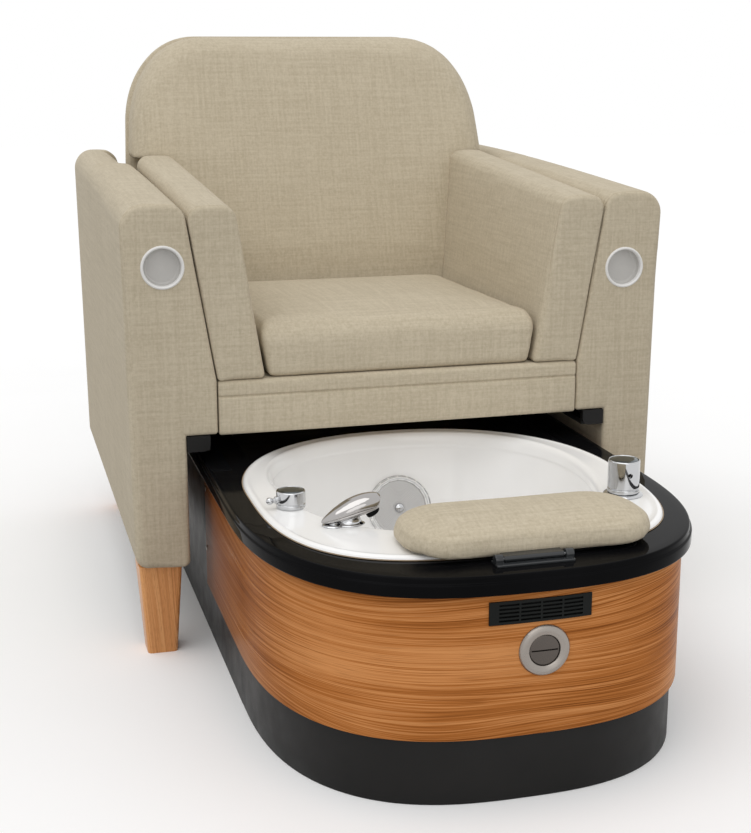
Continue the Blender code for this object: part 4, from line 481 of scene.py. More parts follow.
def surface(name, rows, wrap=False, grain=None):
    """Mesh of a grid of points whose columns close on themselves, and whose rows close too if wrap. Points
    that meet at a pole are merged. Grain is the distance along the rows, for a UV map of (distance,
    height)."""
    rows = np.array(rows, float) - (0.0, MIDDLE, 0.0)
    count, across = rows.shape[:2]
    row, column = np.meshgrid(np.arange(count - (not wrap)), np.arange(across), indexing="ij")
    next_row, next_column = (row + 1) % count * across, (column + 1) % across
    row = row * across
    faces = np.stack([row + column, row + next_column, next_row + next_column, next_row + column], axis=-1)
    mesh = bpy.data.meshes.new(name)
    mesh.from_pydata(rows.reshape(-1, 3).tolist(), [], faces.reshape(-1, 4).tolist())
    if grain is not None:
        along = np.broadcast_to(np.array(grain)[:, None], (count, across))
        flat = np.stack([along, rows[:, :, 2]], axis=2).reshape(-1, 2)
        layer = mesh.uv_layers.new(name="grain")
        layer.uv.foreach_set("vector", flat[faces.ravel()].ravel())
    work = bmesh.new()
    work.from_mesh(mesh)
    bmesh.ops.remove_doubles(work, verts=work.verts, dist=2e-6)
    bmesh.ops.dissolve_degenerate(work, edges=work.edges, dist=2e-6)
    bmesh.ops.recalc_face_normals(work, faces=work.faces)
    work.to_mesh(mesh)
    work.free()
    return mesh


def softened(profile, radius, steps=4):
    """Open profile whose corners become short parabolas, each using at most 0.45 of its two sides."""
    points = np.array(profile, float)
    corner = points[1:-1]
    back, ahead = points[:-2] - corner, points[2:] - corner
    start = corner + back * np.minimum(radius / np.linalg.norm(back, axis=1, keepdims=True), 0.45)
    end = corner + ahead * np.minimum(radius / np.linalg.norm(ahead, axis=1, keepdims=True), 0.45)
    share = np.linspace(0.0, 1.0, steps + 1)[:, None]
    first, second, third = (1 - share) ** 2, 2 * share * (1 - share), share**2
    curve = start[:, None] * first + corner[:, None] * second + end[:, None] * third
    return np.vstack([points[:1], curve.reshape(-1, 2), points[-1:]])


def spun(name, profile, centre, direction=(0.0, 0.0, 1.0), soft=0.0008, steps=72, hollow=False):
    """A profile of (radius, height) with softened corners, turned round a line through the centre."""
    points = softened(profile, soft)
    line = np.array(direction, float) / np.linalg.norm(direction)
    side = np.cross(line, (1.0, 0.0, 0.0) if abs(line[0]) < 0.9 else (0.0, 1.0, 0.0))
    side /= np.linalg.norm(side)
    angle = np.linspace(0.0, math.tau, steps, endpoint=False)[:, None]
    circle = np.cos(angle) * side + np.sin(angle) * np.cross(line, side)
    rows = np.array(centre) + points[:, :1, None] * circle + points[:, 1:, None] * line
    return surface(name, rows, wrap=hollow)


def rod(radius, start, end, steps=48):
    """A plain round cutter between two points."""
    start, end = np.array(start, float), np.array(end, float)
    length = np.linalg.norm(end - start)
    profile = [(0, 0), (radius, 0), (radius, length), (0, length)]
    return spun("cutter", profile, start, end - start, 0.0, steps)


def block(low, high):
    """A plain box cutter."""
    square = rectangle(*low[:2], *high[:2])
    return surface("cutter", capped([lift(square, "z", low[2]), lift(square, "z", high[2])], steps=1))


def settle(target):
    """Makes the modified shape the object's own mesh."""
    bpy.context.view_layer.update()
    shape = bpy.data.meshes.new_from_object(target.evaluated_get(bpy.context.evaluated_depsgraph_get()))
    target.modifiers.clear()
    target.data = shape


def carve(target, tool):
    """Cuts a tool mesh out of the target."""
    cutter = bpy.data.objects.new("cutter", tool)
    bpy.context.scene.collection.objects.link(cutter)
    change = target.modifiers.new("carve", "BOOLEAN")
    change.operation = "DIFFERENCE"
    change.solver = "EXACT"
    change.object = cutter
    settle(target)
    bpy.data.objects.remove(cutter)


def show(name, mesh, look, body="base", nodes=(), tools=(), crisp=40.0):
    """Puts a mesh in the scene: carves it, shades it smooth up to an edge angle and gives it its look, hangs
    it on the body it rides on, and hides the nodes it stands for."""
    piece = bpy.data.objects.new(name, mesh)
    bpy.context.scene.collection.objects.link(piece)
    for tool in tools:
        carve(piece, tool)
    piece.data.materials.clear()
    piece.data.materials.append(look)
    piece.data.shade_smooth()
    piece.data.set_sharp_from_angle(angle=math.radians(crisp))
    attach(piece, body)
    if nodes:
        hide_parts(*nodes)
    return piece


def places(mesh):
    """All the points of a mesh, in chair coordinates."""
    points = np.empty(len(mesh.vertices) * 3)
    mesh.vertices.foreach_get("co", points)
    return points.reshape(-1, 3) + (0.0, MIDDLE, 0.0)


def eased(mesh, step, rounds):
    """Each point's step averaged with those of its neighbours along the edges, some rounds over."""
    ends = np.empty(len(mesh.edges) * 2, np.int32)
    mesh.edges.foreach_get("vertices", ends)
    first, second = ends.reshape(-1, 2).T
    both, others = np.concatenate([first, second]), np.concatenate([second, first])
    count = np.bincount(both, minlength=len(step))[:, None]
    for _ in range(rounds):
        total = np.stack([np.bincount(both, step[others, axis], len(step)) for axis in range(3)], axis=1)
        step = 0.5 * step + 0.5 * total / count
    return step


def fill(piece, voxel, most, hold):
    """Swells a padded piece by cloth under pressure. No point moves further than most, the steps are eased so
    that the cover stays taut, hold keeps the points clear of the neighbours, and a subdivision smooths it."""
    remesh = piece.modifiers.new("remesh", "REMESH")
    remesh.mode = "VOXEL"
    remesh.voxel_size = voxel
    settle(piece)
    rest = places(piece.data)
    cloth = piece.modifiers.new("fill", "CLOTH")
    cloth.settings.use_pressure = True
    cloth.settings.uniform_pressure_force = FILL_PRESSURE
    cloth.settings.effector_weights.gravity = 0.0
    cloth.settings.quality = 5
    cloth.settings.compression_stiffness = 5.0
    cloth.settings.bending_stiffness = 8.0
    cloth.point_cache.frame_start = 1
    cloth.point_cache.frame_end = FILL_STEPS
    for step in range(1, FILL_STEPS + 1):
        bpy.context.scene.frame_set(step)
    settle(piece)
    step = places(piece.data) - rest
    length = np.linalg.norm(step, axis=1, keepdims=True)
    step = eased(piece.data, step * np.minimum(1.0, most / np.maximum(length, 1e-9)), EASING_ROUNDS)
    swollen = hold(rest + step)
    piece.data.vertices.foreach_set("co", (swollen - (0.0, MIDDLE, 0.0)).ravel())
    bpy.context.scene.frame_set(1)
    smooth = piece.modifiers.new("smooth", "SUBSURF")
    smooth.levels = smooth.render_levels = 1
    settle(piece)
    piece.data.shade_smooth()


# Upholstery


def upholster(name, rows, body="base", look=LINEN, crisp=40.0, tools=(), swell=None):
    """Linen cover of a padded node, which hides the node. Swell, for a cover that cloth swells, is its
    voxel, its longest step and its hold."""
    piece = show(name + "_cover", surface(name, rows), look, body, [name], tools, crisp)
    if swell:
        fill(piece, *swell)


def back_face(height):
    """Front plane of the backrest at a height."""
    return BACK_FRONT + (height - DECK_HEIGHT) * TILT_SLOPE


def seamed(section, crisp, soft, tight, seam_low, seam_high, inner, outer):
    """Front edge of an arm: soft on its outer side and tight on its inner side, from one side face to the
    other, and between two heights the sewn edge of the top takes over."""
    rings = []
    for stations in zip(crisp, soft, tight):
        sewn, plain, close = (section(*station) for station in stations)
        side = smooth_step(np.abs(plain[:, :1]), *sorted((inner, outer)))
        plain = plain + (close - plain) * (side if inner > outer else 1 - side)
        rings.append(plain + (sewn - plain) * smooth_step(plain[:, 2:], seam_low, seam_high))
    return rings


def outer_arm_section(side, depth, inset):
    """Cross-section of an outer arm: notched below, leaning with the inner arm above, its top crowned."""
    top = ARM_HEIGHT + ARM_RISE * math.sin(min(depth / ARM_DEPTH, 1.0) * math.pi / 2)
    lean = INNER_ARM_LEAN + INNER_ARM_FLARE * depth / ARM_DEPTH
    inner_low, inner_top = ARM_INNER, ARM_INNER + lean
    radii = [0.012, 0.024, 0.036, 0.026, 0.010, 0.006, 0.0004]
    ledge = NOTCH_HEIGHT
    if depth > POCKET_START:
        inner_low = inner_top = POCKET_HALF_WIDTH
        ledge -= LEDGE_DROP
        radii[5] = 0.0004
    lower = LOWER_ARM_INNER
    if depth > REAR_PANEL_FRONT:
        inner_low = inner_top = lower = REAR_SEAM
    corners = [(lower, LEG_HEIGHT), (ARM_HALF_SPAN - ARM_TAPER, LEG_HEIGHT), (ARM_HALF_SPAN, top)]
    corners += [(inner_top, top), (inner_low, DECK_HEIGHT), (inner_low, NOTCH_HEIGHT), (lower, ledge)]
    points = outline(corners, radii, inset, arc=10, side=8)
    across = np.clip((points[:, 0] - inner_top) / (ARM_HALF_SPAN - inner_top), 0.0, 1.0)
    points[:, 1] += 0.004 * np.sin(across * math.pi) * smooth_step(points[:, 1], top - 0.05, top - inset)
    return lift(points * (side, 1.0), "y", depth)


def make_outer_arm(name, side, port):
    """Outer arm: sections carried from its sewn front edge to its round rear edge, with a hole for its
    port."""

    def section(depth, inset):
        return outer_arm_section(side, depth, inset)

    crisp = [(0.0, 0.0090), (0.0006, 0.0055), (0.0020, 0.0026), (0.0040, 0.0008), (0.0056, 0.0012)]
    crisp += [(0.0072, 0.0062), (0.0088, 0.0012), (0.0104, 0.0001), (0.014, 0.0), (0.022, 0.0)]
    soft = [*quarter(0.017, 8), (0.022, 0.0)]
    tight = [*quarter(0.007, 8), (0.022, 0.0)]
    rings = seamed(section, crisp, soft, tight, ARM_HEIGHT - 0.17, ARM_HEIGHT - 0.06, 0.40, 0.46)
    middle = [*np.linspace(0.05, POCKET_START, 14), POCKET_START + 0.001, *np.linspace(0.65, 0.90, 7)]
    middle += [REAR_PANEL_FRONT, REAR_PANEL_FRONT + 0.001, 0.95]
    rings += [section(depth, 0.0) for depth in middle]
    rings += [section(*station) for station in closing(ARM_DEPTH, 0.030)]
    rows = capped(rings, (0.0, -0.0012, 0.0), steps=12)
    x, z = PORTS[port]
    hole = rod(PORT_HOLE_RADIUS, (x, -0.05, z), (x, PORT_HOLE_DEPTH, z))
    upholster(name, rows, crisp=60.0, tools=[hole])


def make_inner_arm(name, side):
    """Inner arm: a leaning slab with a sewn front panel, a crowned top and a rear end cut to the back's
    tilt."""
    length = back_face(SEAT_BASE) - SLACK

    def section(place, inset):
        share = place / length
        top = INNER_ARM_HEIGHT + INNER_ARM_RISE * share
        reach = INNER_ARM_LEAN + INNER_ARM_FLARE * place / ARM_DEPTH
        outer = INNER_ARM_OUTER + INNER_ARM_FULL
        corners = [(INNER_FACE, SEAT_BASE), (outer, SEAT_BASE), (outer + reach, top)]
        corners.append((INNER_FACE + reach, top))
        points = outline(corners, [0.008, 0.008, 0.021, 0.021], inset, arc=10, side=12)
        across = (points[:, 0] - INNER_FACE - reach) / (INNER_ARM_OUTER - INNER_FACE)
        crown = 0.003 * np.sin(np.clip(across, 0.0, 1.0) * math.pi)
        points[:, 1] += crown * smooth_step(points[:, 1], top - 0.04, top - inset)
        belly = smooth_step(points[:, 1], 0.60, 0.68) * smooth_step(-points[:, 1], -top, 0.05 - top)
        middle = INNER_FACE + 0.04 + LEAN_SLOPE * (points[:, 1] - SEAT_BASE)
        points[:, 0] -= 0.004 * belly * (points[:, 0] < middle) * math.sin(share * math.pi) ** 0.5
        depth = share * (length + (points[:, 1] - SEAT_BASE) * TILT_SLOPE)
        return np.stack([side * points[:, 0], depth, points[:, 1]], axis=1)

    crisp = [(0.0, 0.0080), (0.0005, 0.0048), (0.0018, 0.0022), (0.0036, 0.0006), (0.0050, 0.0010)]
    crisp += [(0.0064, 0.0056), (0.0078, 0.0010), (0.0094, 0.0001), (0.012, 0.0), (0.018, 0.0)]
    soft = [*quarter(0.012, 8), (0.018, 0.0)]
    tight = [*quarter(0.006, 8), (0.018, 0.0)]
    rings = seamed(section, crisp, soft, tight, INNER_ARM_HEIGHT - 0.20, INNER_ARM_HEIGHT - 0.06, 0.33, 0.30)
    rings += [section(place, 0.0) for place in np.linspace(0.05, length - 0.03, 16)]
    rings += [section(*station) for station in closing(length, 0.008)]
    upholster(name, capped(rings, (0.0, -0.002, 0.0), steps=10), "seat", crisp=60.0)


def make_front_rail():
    """Padded apron under the cushion: a profile with a sewn groove, carried across and drawn in at its
    ends."""
    low, high, seam = RAIL_UNDERSIDE, DECK_HEIGHT, RAIL_SEAM
    profile = [(RAIL_DEPTH, low), (RAIL_DEPTH, high), (0.0, high), (0.0, seam + 0.0035), (0.0030, seam)]
    profile += [(0.0, seam - 0.0035), (0.0, low)]
    radii = [0.002, 0.002, 0.009, 0.0018, 0.0006, 0.0018, 0.006]
    stations = [(-RAIL_HALF_WIDTH + away, inset) for away, inset in quarter(0.004, 4)]
    stations += [(place, 0.0) for place in np.linspace(-0.32, 0.32, 24)]
    stations += closing(RAIL_HALF_WIDTH, 0.004, 4)
    rings = []
    for place, inset in stations:
        points = outline(profile, radii, inset, arc=6, side=6)
        panel = np.clip((points[:, 1] - low) / (seam - low), 0.0, 1.0)
        swell = 0.003 * np.sin(panel * math.pi) * (1 - (place / RAIL_HALF_WIDTH) ** 4)
        points[:, 0] -= swell * (points[:, 0] < RAIL_DEPTH / 2)
        rings.append(lift(points, "x", place))
    upholster("front_rail", capped(rings), "seat")


def make_seat_cushion():
    """Seat cushion: a boxed form with full round edges, filled until it domes between its edges."""
    half, length, edge = SEAT_HALF_WIDTH - 0.001, back_face(SEAT_BASE) - SLACK, 0.038
    stations = [(0.0, 0.006), (0.003, 0.002), (0.008, 0.0), (0.025, 0.0), (0.042, 0.0)]
    stations += [(0.056 + edge - inset, away) for away, inset in quarter(edge, 8)]
    rings = []
    for height, inset in stations:
        x, front, rear = half - inset * 0.5, 0.003 + inset, length - 0.008 - inset * 0.9
        corners = rectangle(-x, front, x, rear)
        points = outline(corners, [0.010, 0.010, 0.024, 0.024], arc=8, side=14)
        along = points[:, 1] / length
        level = SEAT_BASE + height - 0.014 * along * height / 0.100
        depth = points[:, 1] + along * (level - SEAT_BASE) * TILT_SLOPE
        wide = points[:, 0] * (1 + height * LEAN_SLOPE / half)
        rings.append(np.stack([wide, depth, level], axis=1))

    def hold(points):
        limit = SEAT_HALF_WIDTH + (points[:, 2] - DECK_HEIGHT) * LEAN_SLOPE + 0.001
        points[:, 0] = np.clip(points[:, 0], -limit, limit)
        points[:, 1] = np.clip(points[:, 1], -0.004, back_face(points[:, 2]) - 0.001)
        points[:, 2] = np.maximum(points[:, 2], SEAT_BASE)
        return points

    rows = capped(rings, rear=(0.0, 0.0, 0.012))
    upholster("seat_cushion", rows, "seat", crisp=180.0, swell=(0.006, 0.005, hold))


def back_ring(behind, inset, flare=BACK_FLARE):
    """Front outline of the backrest, leaning to its tilt, at a distance behind its face. It widens at the
    flare, whose underside stays nearly level where the other edges are drawn in."""
    foot = SEAT_BASE + SLACK
    flare -= 0.88 * inset
    waist = BACK_HALF_WIDTH + LEAN_SLOPE * (flare - foot)
    right = [(BACK_HALF_WIDTH, foot), (waist, flare), (0.401, flare + 0.003), (0.390, 0.930)]
    right += [(0.3665, 1.002), (0.289, 1.0845)]
    radii = [0.020, 0.003, 0.008, 0.240, 0.200, 0.150]
    points = outline(mirrored(right), radii + radii[::-1], inset, arc=8, side=12)
    return np.stack([points[:, 0], back_face(points[:, 1]) + behind, points[:, 1]], axis=1)


def make_backrest():
    """Backrest: a filled cushion with big soft corners, wider above the arms, and a flatter padded shell
    behind it that is wide further down."""
    front = [(0.003 + away, inset + 0.003) for away, inset in quarter(0.044, 8)]
    rear = closing(BACK_THICKNESS, 0.012, 4, 0.003)
    rings = [back_ring(*station) for station in front + [(0.062, 0.003), (0.085, 0.003)] + rear]

    def hold(points):
        foot = SEAT_BASE + SLACK / 2
        points[:, 2] = np.maximum(points[:, 2], foot)
        face = back_face(points[:, 2])
        upper = smooth_step(points[:, 2], 0.56, 0.66)
        points[:, 1] = np.clip(points[:, 1], face - 0.012 * upper, face + BACK_THICKNESS)
        flare = 0.05 * smooth_step(points[:, 2], BACK_FLARE - 0.0015, BACK_FLARE + 0.004)
        reach = BACK_HALF_WIDTH + 0.0015 + LEAN_SLOPE * (points[:, 2] - foot) + flare
        points[:, 0] = np.clip(points[:, 0], -reach, reach)
        return points

    rows, swell = capped(rings, (0.0, -0.008, 0.0), steps=12), (0.0078, 0.010, hold)
    upholster("backrest_cushion", rows, "backrest", BACK_LINEN, 180.0, swell=swell)
    start = BACK_THICKNESS + CLEAR
    stations = [(start, 0.008), (start + 0.003, 0.006), *closing(start + 0.026, 0.014, 6, 0.006)]
    rings = [back_ring(*station, SHELL_FLARE) for station in stations]
    rows = capped(rings, rear=(0.0, 0.008, 0.0), steps=12)
    upholster("backrest_shell", rows, "backrest", BACK_LINEN, 70.0)


def make_rear_panel():
    """Panel that closes the back between the arms: its outline carried rearwards to a round, crowned face."""
    half = REAR_SEAM - CLEAR
    right = [(half, LEG_HEIGHT), (half, REAR_PANEL_TOP)]
    radii = [0.012, 0.014, 0.014, 0.012]
    stations = [(REAR_PANEL_FRONT, 0.002), (REAR_PANEL_FRONT + 0.002, 0.0), (0.95, 0.0)]
    stations += closing(REAR_PANEL_END, 0.013)
    for share in (0.1, 0.25, 0.5, 0.75, 1.0):
        stations.append((REAR_PANEL_END + 0.008 * math.sin(share * math.pi / 2), 0.013 + 0.16 * share))
    rings = [lift(outline(mirrored(right), radii, inset), "y", depth) for depth, inset in stations]
    upholster("rear_panel", capped(rings))


def make_footrest_pad():
    """Footrest pad: a long lozenge with round ends, filled to a smooth loaf."""
    x, y = PAD_LENGTH / 2 - 0.003, PAD_DEPTH / 2 - 0.003
    corners = rectangle(-x, -y, x, y)
    stations = [(0.0, 0.020), (0.0, 0.016), (-0.0040, 0.012), (-0.0046, 0.006), (-0.0036, 0.001), (0.0, 0.0)]
    stations += [(0.006, 0.0004), (0.012, 0.003)]
    angle = np.linspace(0.12, 0.97, 9) * math.pi / 2
    stations += [*np.stack([0.012 + 0.025 * np.sin(angle), 0.003 + 0.081 * (1 - np.cos(angle))], axis=1)]
    rings = []
    for height, inset in stations:
        points = outline(corners, [0.072, 0.072, 0.084, 0.084], inset, arc=12, side=14)
        drawn = 1 - 0.03 * np.clip(1 - (points[:, 0] / x) ** 2, 0.0, 1.0)
        plan = np.stack([points[:, 0], points[:, 1] * drawn], axis=1) + PAD_CENTRE
        skirt = PAD_SKIRT * smooth_step(-plan[:, 1], 0.580, 0.596) * (height < 0)
        rings.append(lift(plan, "z", PAD_UNDERSIDE + height - skirt))

    def hold(points):
        skirt = PAD_SKIRT * smooth_step(-points[:, 1], 0.580, 0.596)
        points[:, 2] = np.maximum(points[:, 2], PAD_UNDERSIDE - 0.0044 - skirt)
        points[:, 1] = np.maximum(points[:, 1], HINGE_PLACE + 0.009)
        return points

    rows = capped(rings, steps=4)
    upholster("footrest_pad", rows, "footrest", crisp=180.0, swell=(0.004, 0.0035, hold))


# Cabinet


def tub_path(inset, back, steps=144):
    """Plan of the cabinet, right rear to left rear: straight sides and a superellipse round the front."""
    half, depth = TUB_HALF_WIDTH - inset, TUB_CURVE_DEPTH - inset
    angle = np.linspace(0.0, math.pi, steps + 1)
    power = 2 / TUB_CURVE_POWER
    x = half * np.sign(np.cos(angle)) * np.abs(np.cos(angle)) ** power
    y = TUB_FRONT + TUB_CURVE_DEPTH - depth * np.abs(np.sin(angle)) ** power
    return np.vstack([[(half, back)], np.stack([x, y], axis=1), [(-half, back)]])


def tub_face(x, inset=0.0):
    """Depth of the cabinet's curved front at a width."""
    share = np.abs(x) / (TUB_HALF_WIDTH - inset)
    depth = TUB_CURVE_DEPTH - inset
    return TUB_FRONT + TUB_CURVE_DEPTH - depth * (1 - share**TUB_CURVE_POWER) ** (1 / TUB_CURVE_POWER)


def make_band(name, inset, thickness, back, low, high, look, slot, tools=()):
    """A wall round the cabinet's plan: a rectangle of (inset, height) with eased edges, carried along the
    path."""
    section = outline(rectangle(inset, low, inset + thickness, high), [0.0012] * 4, arc=3, side=3)
    paths = np.stack([tub_path(place, back) for place in section[:, 0]], axis=1)
    heights = np.broadcast_to(section[:, 1], paths.shape[:2])
    rings = np.concatenate([paths, heights[:, :, None]], axis=2)
    steps = np.linalg.norm(np.diff(tub_path(inset, back), axis=0), axis=1)
    along = np.concatenate([[0.0], np.cumsum(steps)])
    grain = np.concatenate([np.full(4, along[0]), along, np.full(4, along[-1])])
    mesh = surface(name, capped(rings, steps=4), grain=grain)
    show(name + "_skin", mesh, look, nodes=[name], tools=tools, crisp=35.0)


def make_cabinet():
    """Veneer front with its two openings, the front toe-kick, and screws near the veneer's rear ends."""
    left, right = TRIM_CENTRE - VENT_HALF_WIDTH, TRIM_CENTRE + VENT_HALF_WIDTH
    window = block((left, TUB_FRONT - 0.1, VENT_LOW), (right, TUB_FRONT + 0.1, VENT_HIGH))
    x, z = LATCH_PLACE
    radius = LATCH_DISC_RADIUS + WOOD_THICKNESS / 2 + CLEAR
    hole = rod(radius, (x, TUB_FRONT - 0.05, z), (x, TUB_FRONT + 0.05, z))
    top = COUNTER_UNDERSIDE - CLEAR
    make_band("wood_panel", 0.0, WOOD_THICKNESS, WOOD_END, TOE_HEIGHT, top, VENEER, "veneer", [window, hole])
    toe = (TOE_RECESS, TOE_THICKNESS, TOE_SEAM, 0.0, TOE_HEIGHT - CLEAR)
    make_band("toe_kick_front", *toe, BLACK_SATIN, "black_satin")
    profile = [(0, 0.0022), (0.0030, 0.0020), (0.0050, 0.0008), (0.0052, 0.0), (0.0028, -0.0004)]
    profile.append((0, -0.0004))
    for side, name in ((-1, "left"), (1, "right")):
        for height, part in ((0.288, "upper"), (0.176, "lower")):
            place = (side * TUB_HALF_WIDTH, 0.074, height)
            mesh = spun("screw", profile, place, (side, 0, 0), 0.0004, 32)
            show(f"{name}_{part}_screw", mesh, NICKEL)


def make_vent_painted_shade():
    """Painted shade behind the vent: a dark strip bent to the cabinet's curve, inside the window."""
    low, high, half = VENT_LOW + 0.0004, VENT_HIGH - 0.0004, VENT_HALF_WIDTH - 0.0005
    strip = outline(rectangle(0.001, low, 0.005, high), [0.0008] * 4, arc=2, side=1)
    rings = []
    for x in np.linspace(TRIM_CENTRE - half, TRIM_CENTRE + half, 20):
        rings.append(lift(strip + (tub_face(x), 0.0), "x", x))
    # Painted shade: the dark strip stands for the shaded inside seen through the vent's slots.
    show("vent_painted_shade", surface("vent_painted_shade", capped(rings, steps=2)), DARK, crisp=50.0)


def make_hinge():
    """Hinge of the footrest: a thin plate on the counter with a round ear at each end, all edges eased."""
    low, left, right = COUNTER_TOP + CLEAR, TRIM_CENTRE - HINGE_HALF_WIDTH, TRIM_CENTRE + HINGE_HALF_WIDTH
    front, rear = HINGE_PLACE - 0.014, HINGE_PLACE + 0.014
    corners = rectangle(left, front, right, rear)
    stations = [(0.0, 0.0), *closing(0.0032, 0.0012, 4)]
    rings = [lift(outline(corners, [0.003] * 4, inset), "z", low + height) for height, inset in stations]
    mesh = surface("footrest_hinge", capped(rings, steps=3))
    show("footrest_hinge_plate", mesh, SMOKED_PLATE, nodes=["footrest_hinge"])
    base, top = low + 0.001, low + 2 * HINGE_EAR
    arch = rectangle(HINGE_PLACE - HINGE_EAR, base, HINGE_PLACE + HINGE_EAR, top)
    edge, radii = quarter(0.0010, 4), [0.001, 0.001, 0.007, 0.007]
    for name, start in (("left", left), ("right", right - HINGE_EAR_WIDTH)):
        stations = [*(edge + (start, 0.0)), *(edge * (-1.0, 1.0) + (start + HINGE_EAR_WIDTH, 0.0))[::-1]]
        rings = [lift(outline(arch, radii, inset), "x", place) for place, inset in stations]
        mesh = surface(name + "_hinge_ear", capped(rings, steps=3))
        show(name + "_hinge_ear", mesh, SMOKED_PLATE)


def make_counter():
    """Gloss black top: its plan at the heights and insets of a stepped, rounded edge, with the basin's
    hole."""
    low, top = COUNTER_UNDERSIDE, COUNTER_TOP
    profile = [(0.030, low), (0.0, low), (0.0, top - 0.0104), (0.0028, top - 0.0100)]
    profile += [(0.0036, top), (0.020, top)]
    points = softened(profile, 0.0032, 5)
    rings = [lift(tub_path(inset - COUNTER_OVERHANG, TUB_BACK), "z", height) for inset, height in points]
    mesh = surface("counter", capped(rings, steps=3))
    hole = lift(rim_outline(CUTOUT_INSET), "z", 0.0)
    cutter = surface("cutter", capped([hole, hole + (0.0, 0.0, 1.0)], steps=2))
    show("counter_top", mesh, BLACK_GLOSS, nodes=["counter"], tools=[cutter], crisp=35.0)


# Basin and plumbing


def egg(half, front, back, taper=0.0, front_power=3.2, back_power=2.2, steps=168):
    """Closed outline round the basin's middle: squarer in front, rounder behind, narrowing forwards by
    taper."""
    angle = np.linspace(0.0, math.tau, steps, endpoint=False)
    c, s = np.cos(angle), np.sin(angle)
    power = 2 / np.where(s > 0, back_power, front_power)
    reach = np.where(s > 0, back - BASIN_MIDDLE, BASIN_MIDDLE - front)
    along = np.sign(s) * np.abs(s) ** power
    x = half * np.sign(c) * np.abs(c) ** power * (1 + taper * along)
    return np.stack([x, BASIN_MIDDLE + reach * along], axis=1)


def rim_outline(inset):
    """Outline of the basin's rim."""
    return egg(0.320 - inset, -0.579 + inset, 0.130 - inset)


def bowl_outline(inset):
    """Outline of the bowl's upper edge."""
    return egg(0.258 - inset, -0.455 + inset, 0.101 - inset, 0.13, 2.8)


def round_outline(radius):
    """Circle round the drain, with its points in the directions of the basin's outline."""
    angle = np.linspace(0.0, math.tau, len(rim_outline(0.0)), endpoint=False)
    return np.stack([radius * np.cos(angle), BASIN_MIDDLE + radius * np.sin(angle)], axis=1)


def make_basin():
    """Moulded basin: rings from the drain up the leaning bowl, over a soft shoulder and the deck to the
    rolled rim, on a smooth cubic, and back underneath."""
    depth = DECK_LEVEL - BOWL_FLOOR
    keys = [(round_outline(DRAIN_RADIUS), BOWL_FLOOR), (round_outline(0.055), BOWL_FLOOR + 0.0008)]
    keys += [(bowl_outline(0.105), BOWL_FLOOR + 0.003), (bowl_outline(0.074), BOWL_FLOOR + 0.0135)]
    for share in (0.78, 0.55, 0.32):
        keys.append((bowl_outline(BOWL_LEAN * share**1.5), DECK_LEVEL - depth * share))
    broad = smooth_step(bowl_outline(0.0)[:, 1], -0.32, 0.02)
    wide, deep = 0.017 - 0.007 * broad, 0.021 + 0.012 * broad
    for angle in np.linspace(0.0, math.pi / 2, 6):
        keys.append((bowl_outline(-wide * (1 - math.cos(angle))), DECK_LEVEL - deep * (1 - math.sin(angle))))
    bowl, deck = bowl_outline(-wide), rim_outline(0.018)
    keys += [(bowl + (deck - bowl) * share, DECK_LEVEL) for share in (0.35, 0.75)]
    keys += [(rim_outline(0.014), DECK_LEVEL + 0.0003), (rim_outline(0.007), FLANGE_BASE + 0.0048)]
    keys += [(rim_outline(0.0022), FLANGE_BASE + 0.0032), (rim_outline(0.0), FLANGE_BASE)]
    top = through([lift(ring, "z", height) for ring, height in keys])
    under = DECK_LEVEL - BASIN_WALL * 1.4
    below = [(rim_outline(CUTOUT_INSET + SLACK), FLANGE_BASE), (rim_outline(CUTOUT_INSET + 0.003), under)]
    below += [(bowl_outline(-0.0148), under), (bowl_outline(-BASIN_WALL), under - 0.014)]
    for share in (0.25, 0.5, 0.75):
        below.append((bowl_outline(BOWL_LEAN * share**1.5 - BASIN_WALL), DECK_LEVEL - depth * share))
    below += [(bowl_outline(0.067), BOWL_FLOOR + 0.013), (bowl_outline(0.103), BOWL_FLOOR - 0.002)]
    below.append((round_outline(DRAIN_RADIUS), BOWL_FLOOR - BASIN_WALL))
    rows = np.concatenate([top, [lift(ring, "z", height) for ring, height in below]])
    centre, along = np.array(JET_PLACE), np.array(JET_AXIS)
    hole = rod(JET_RADIUS + CLEAR, centre - along * 0.04, centre + along * 0.04, 72)
    show("basin_shell", surface("basin", rows, wrap=True), ACRYLIC, nodes=["basin"], tools=[hole])
    low, high = COUNTER_TOP + CLEAR, FLANGE_BASE - CLEAR
    section = [(0.006, low), (-0.0012, low), (-0.0016, low + 0.0006), (-0.0012, high), (0.006, high)]
    rings = [lift(rim_outline(inset), "z", height) for inset, height in section]
    show("rim_seal_bead", surface("rim_seal", rings, wrap=True), SEAL, nodes=["rim_seal"])


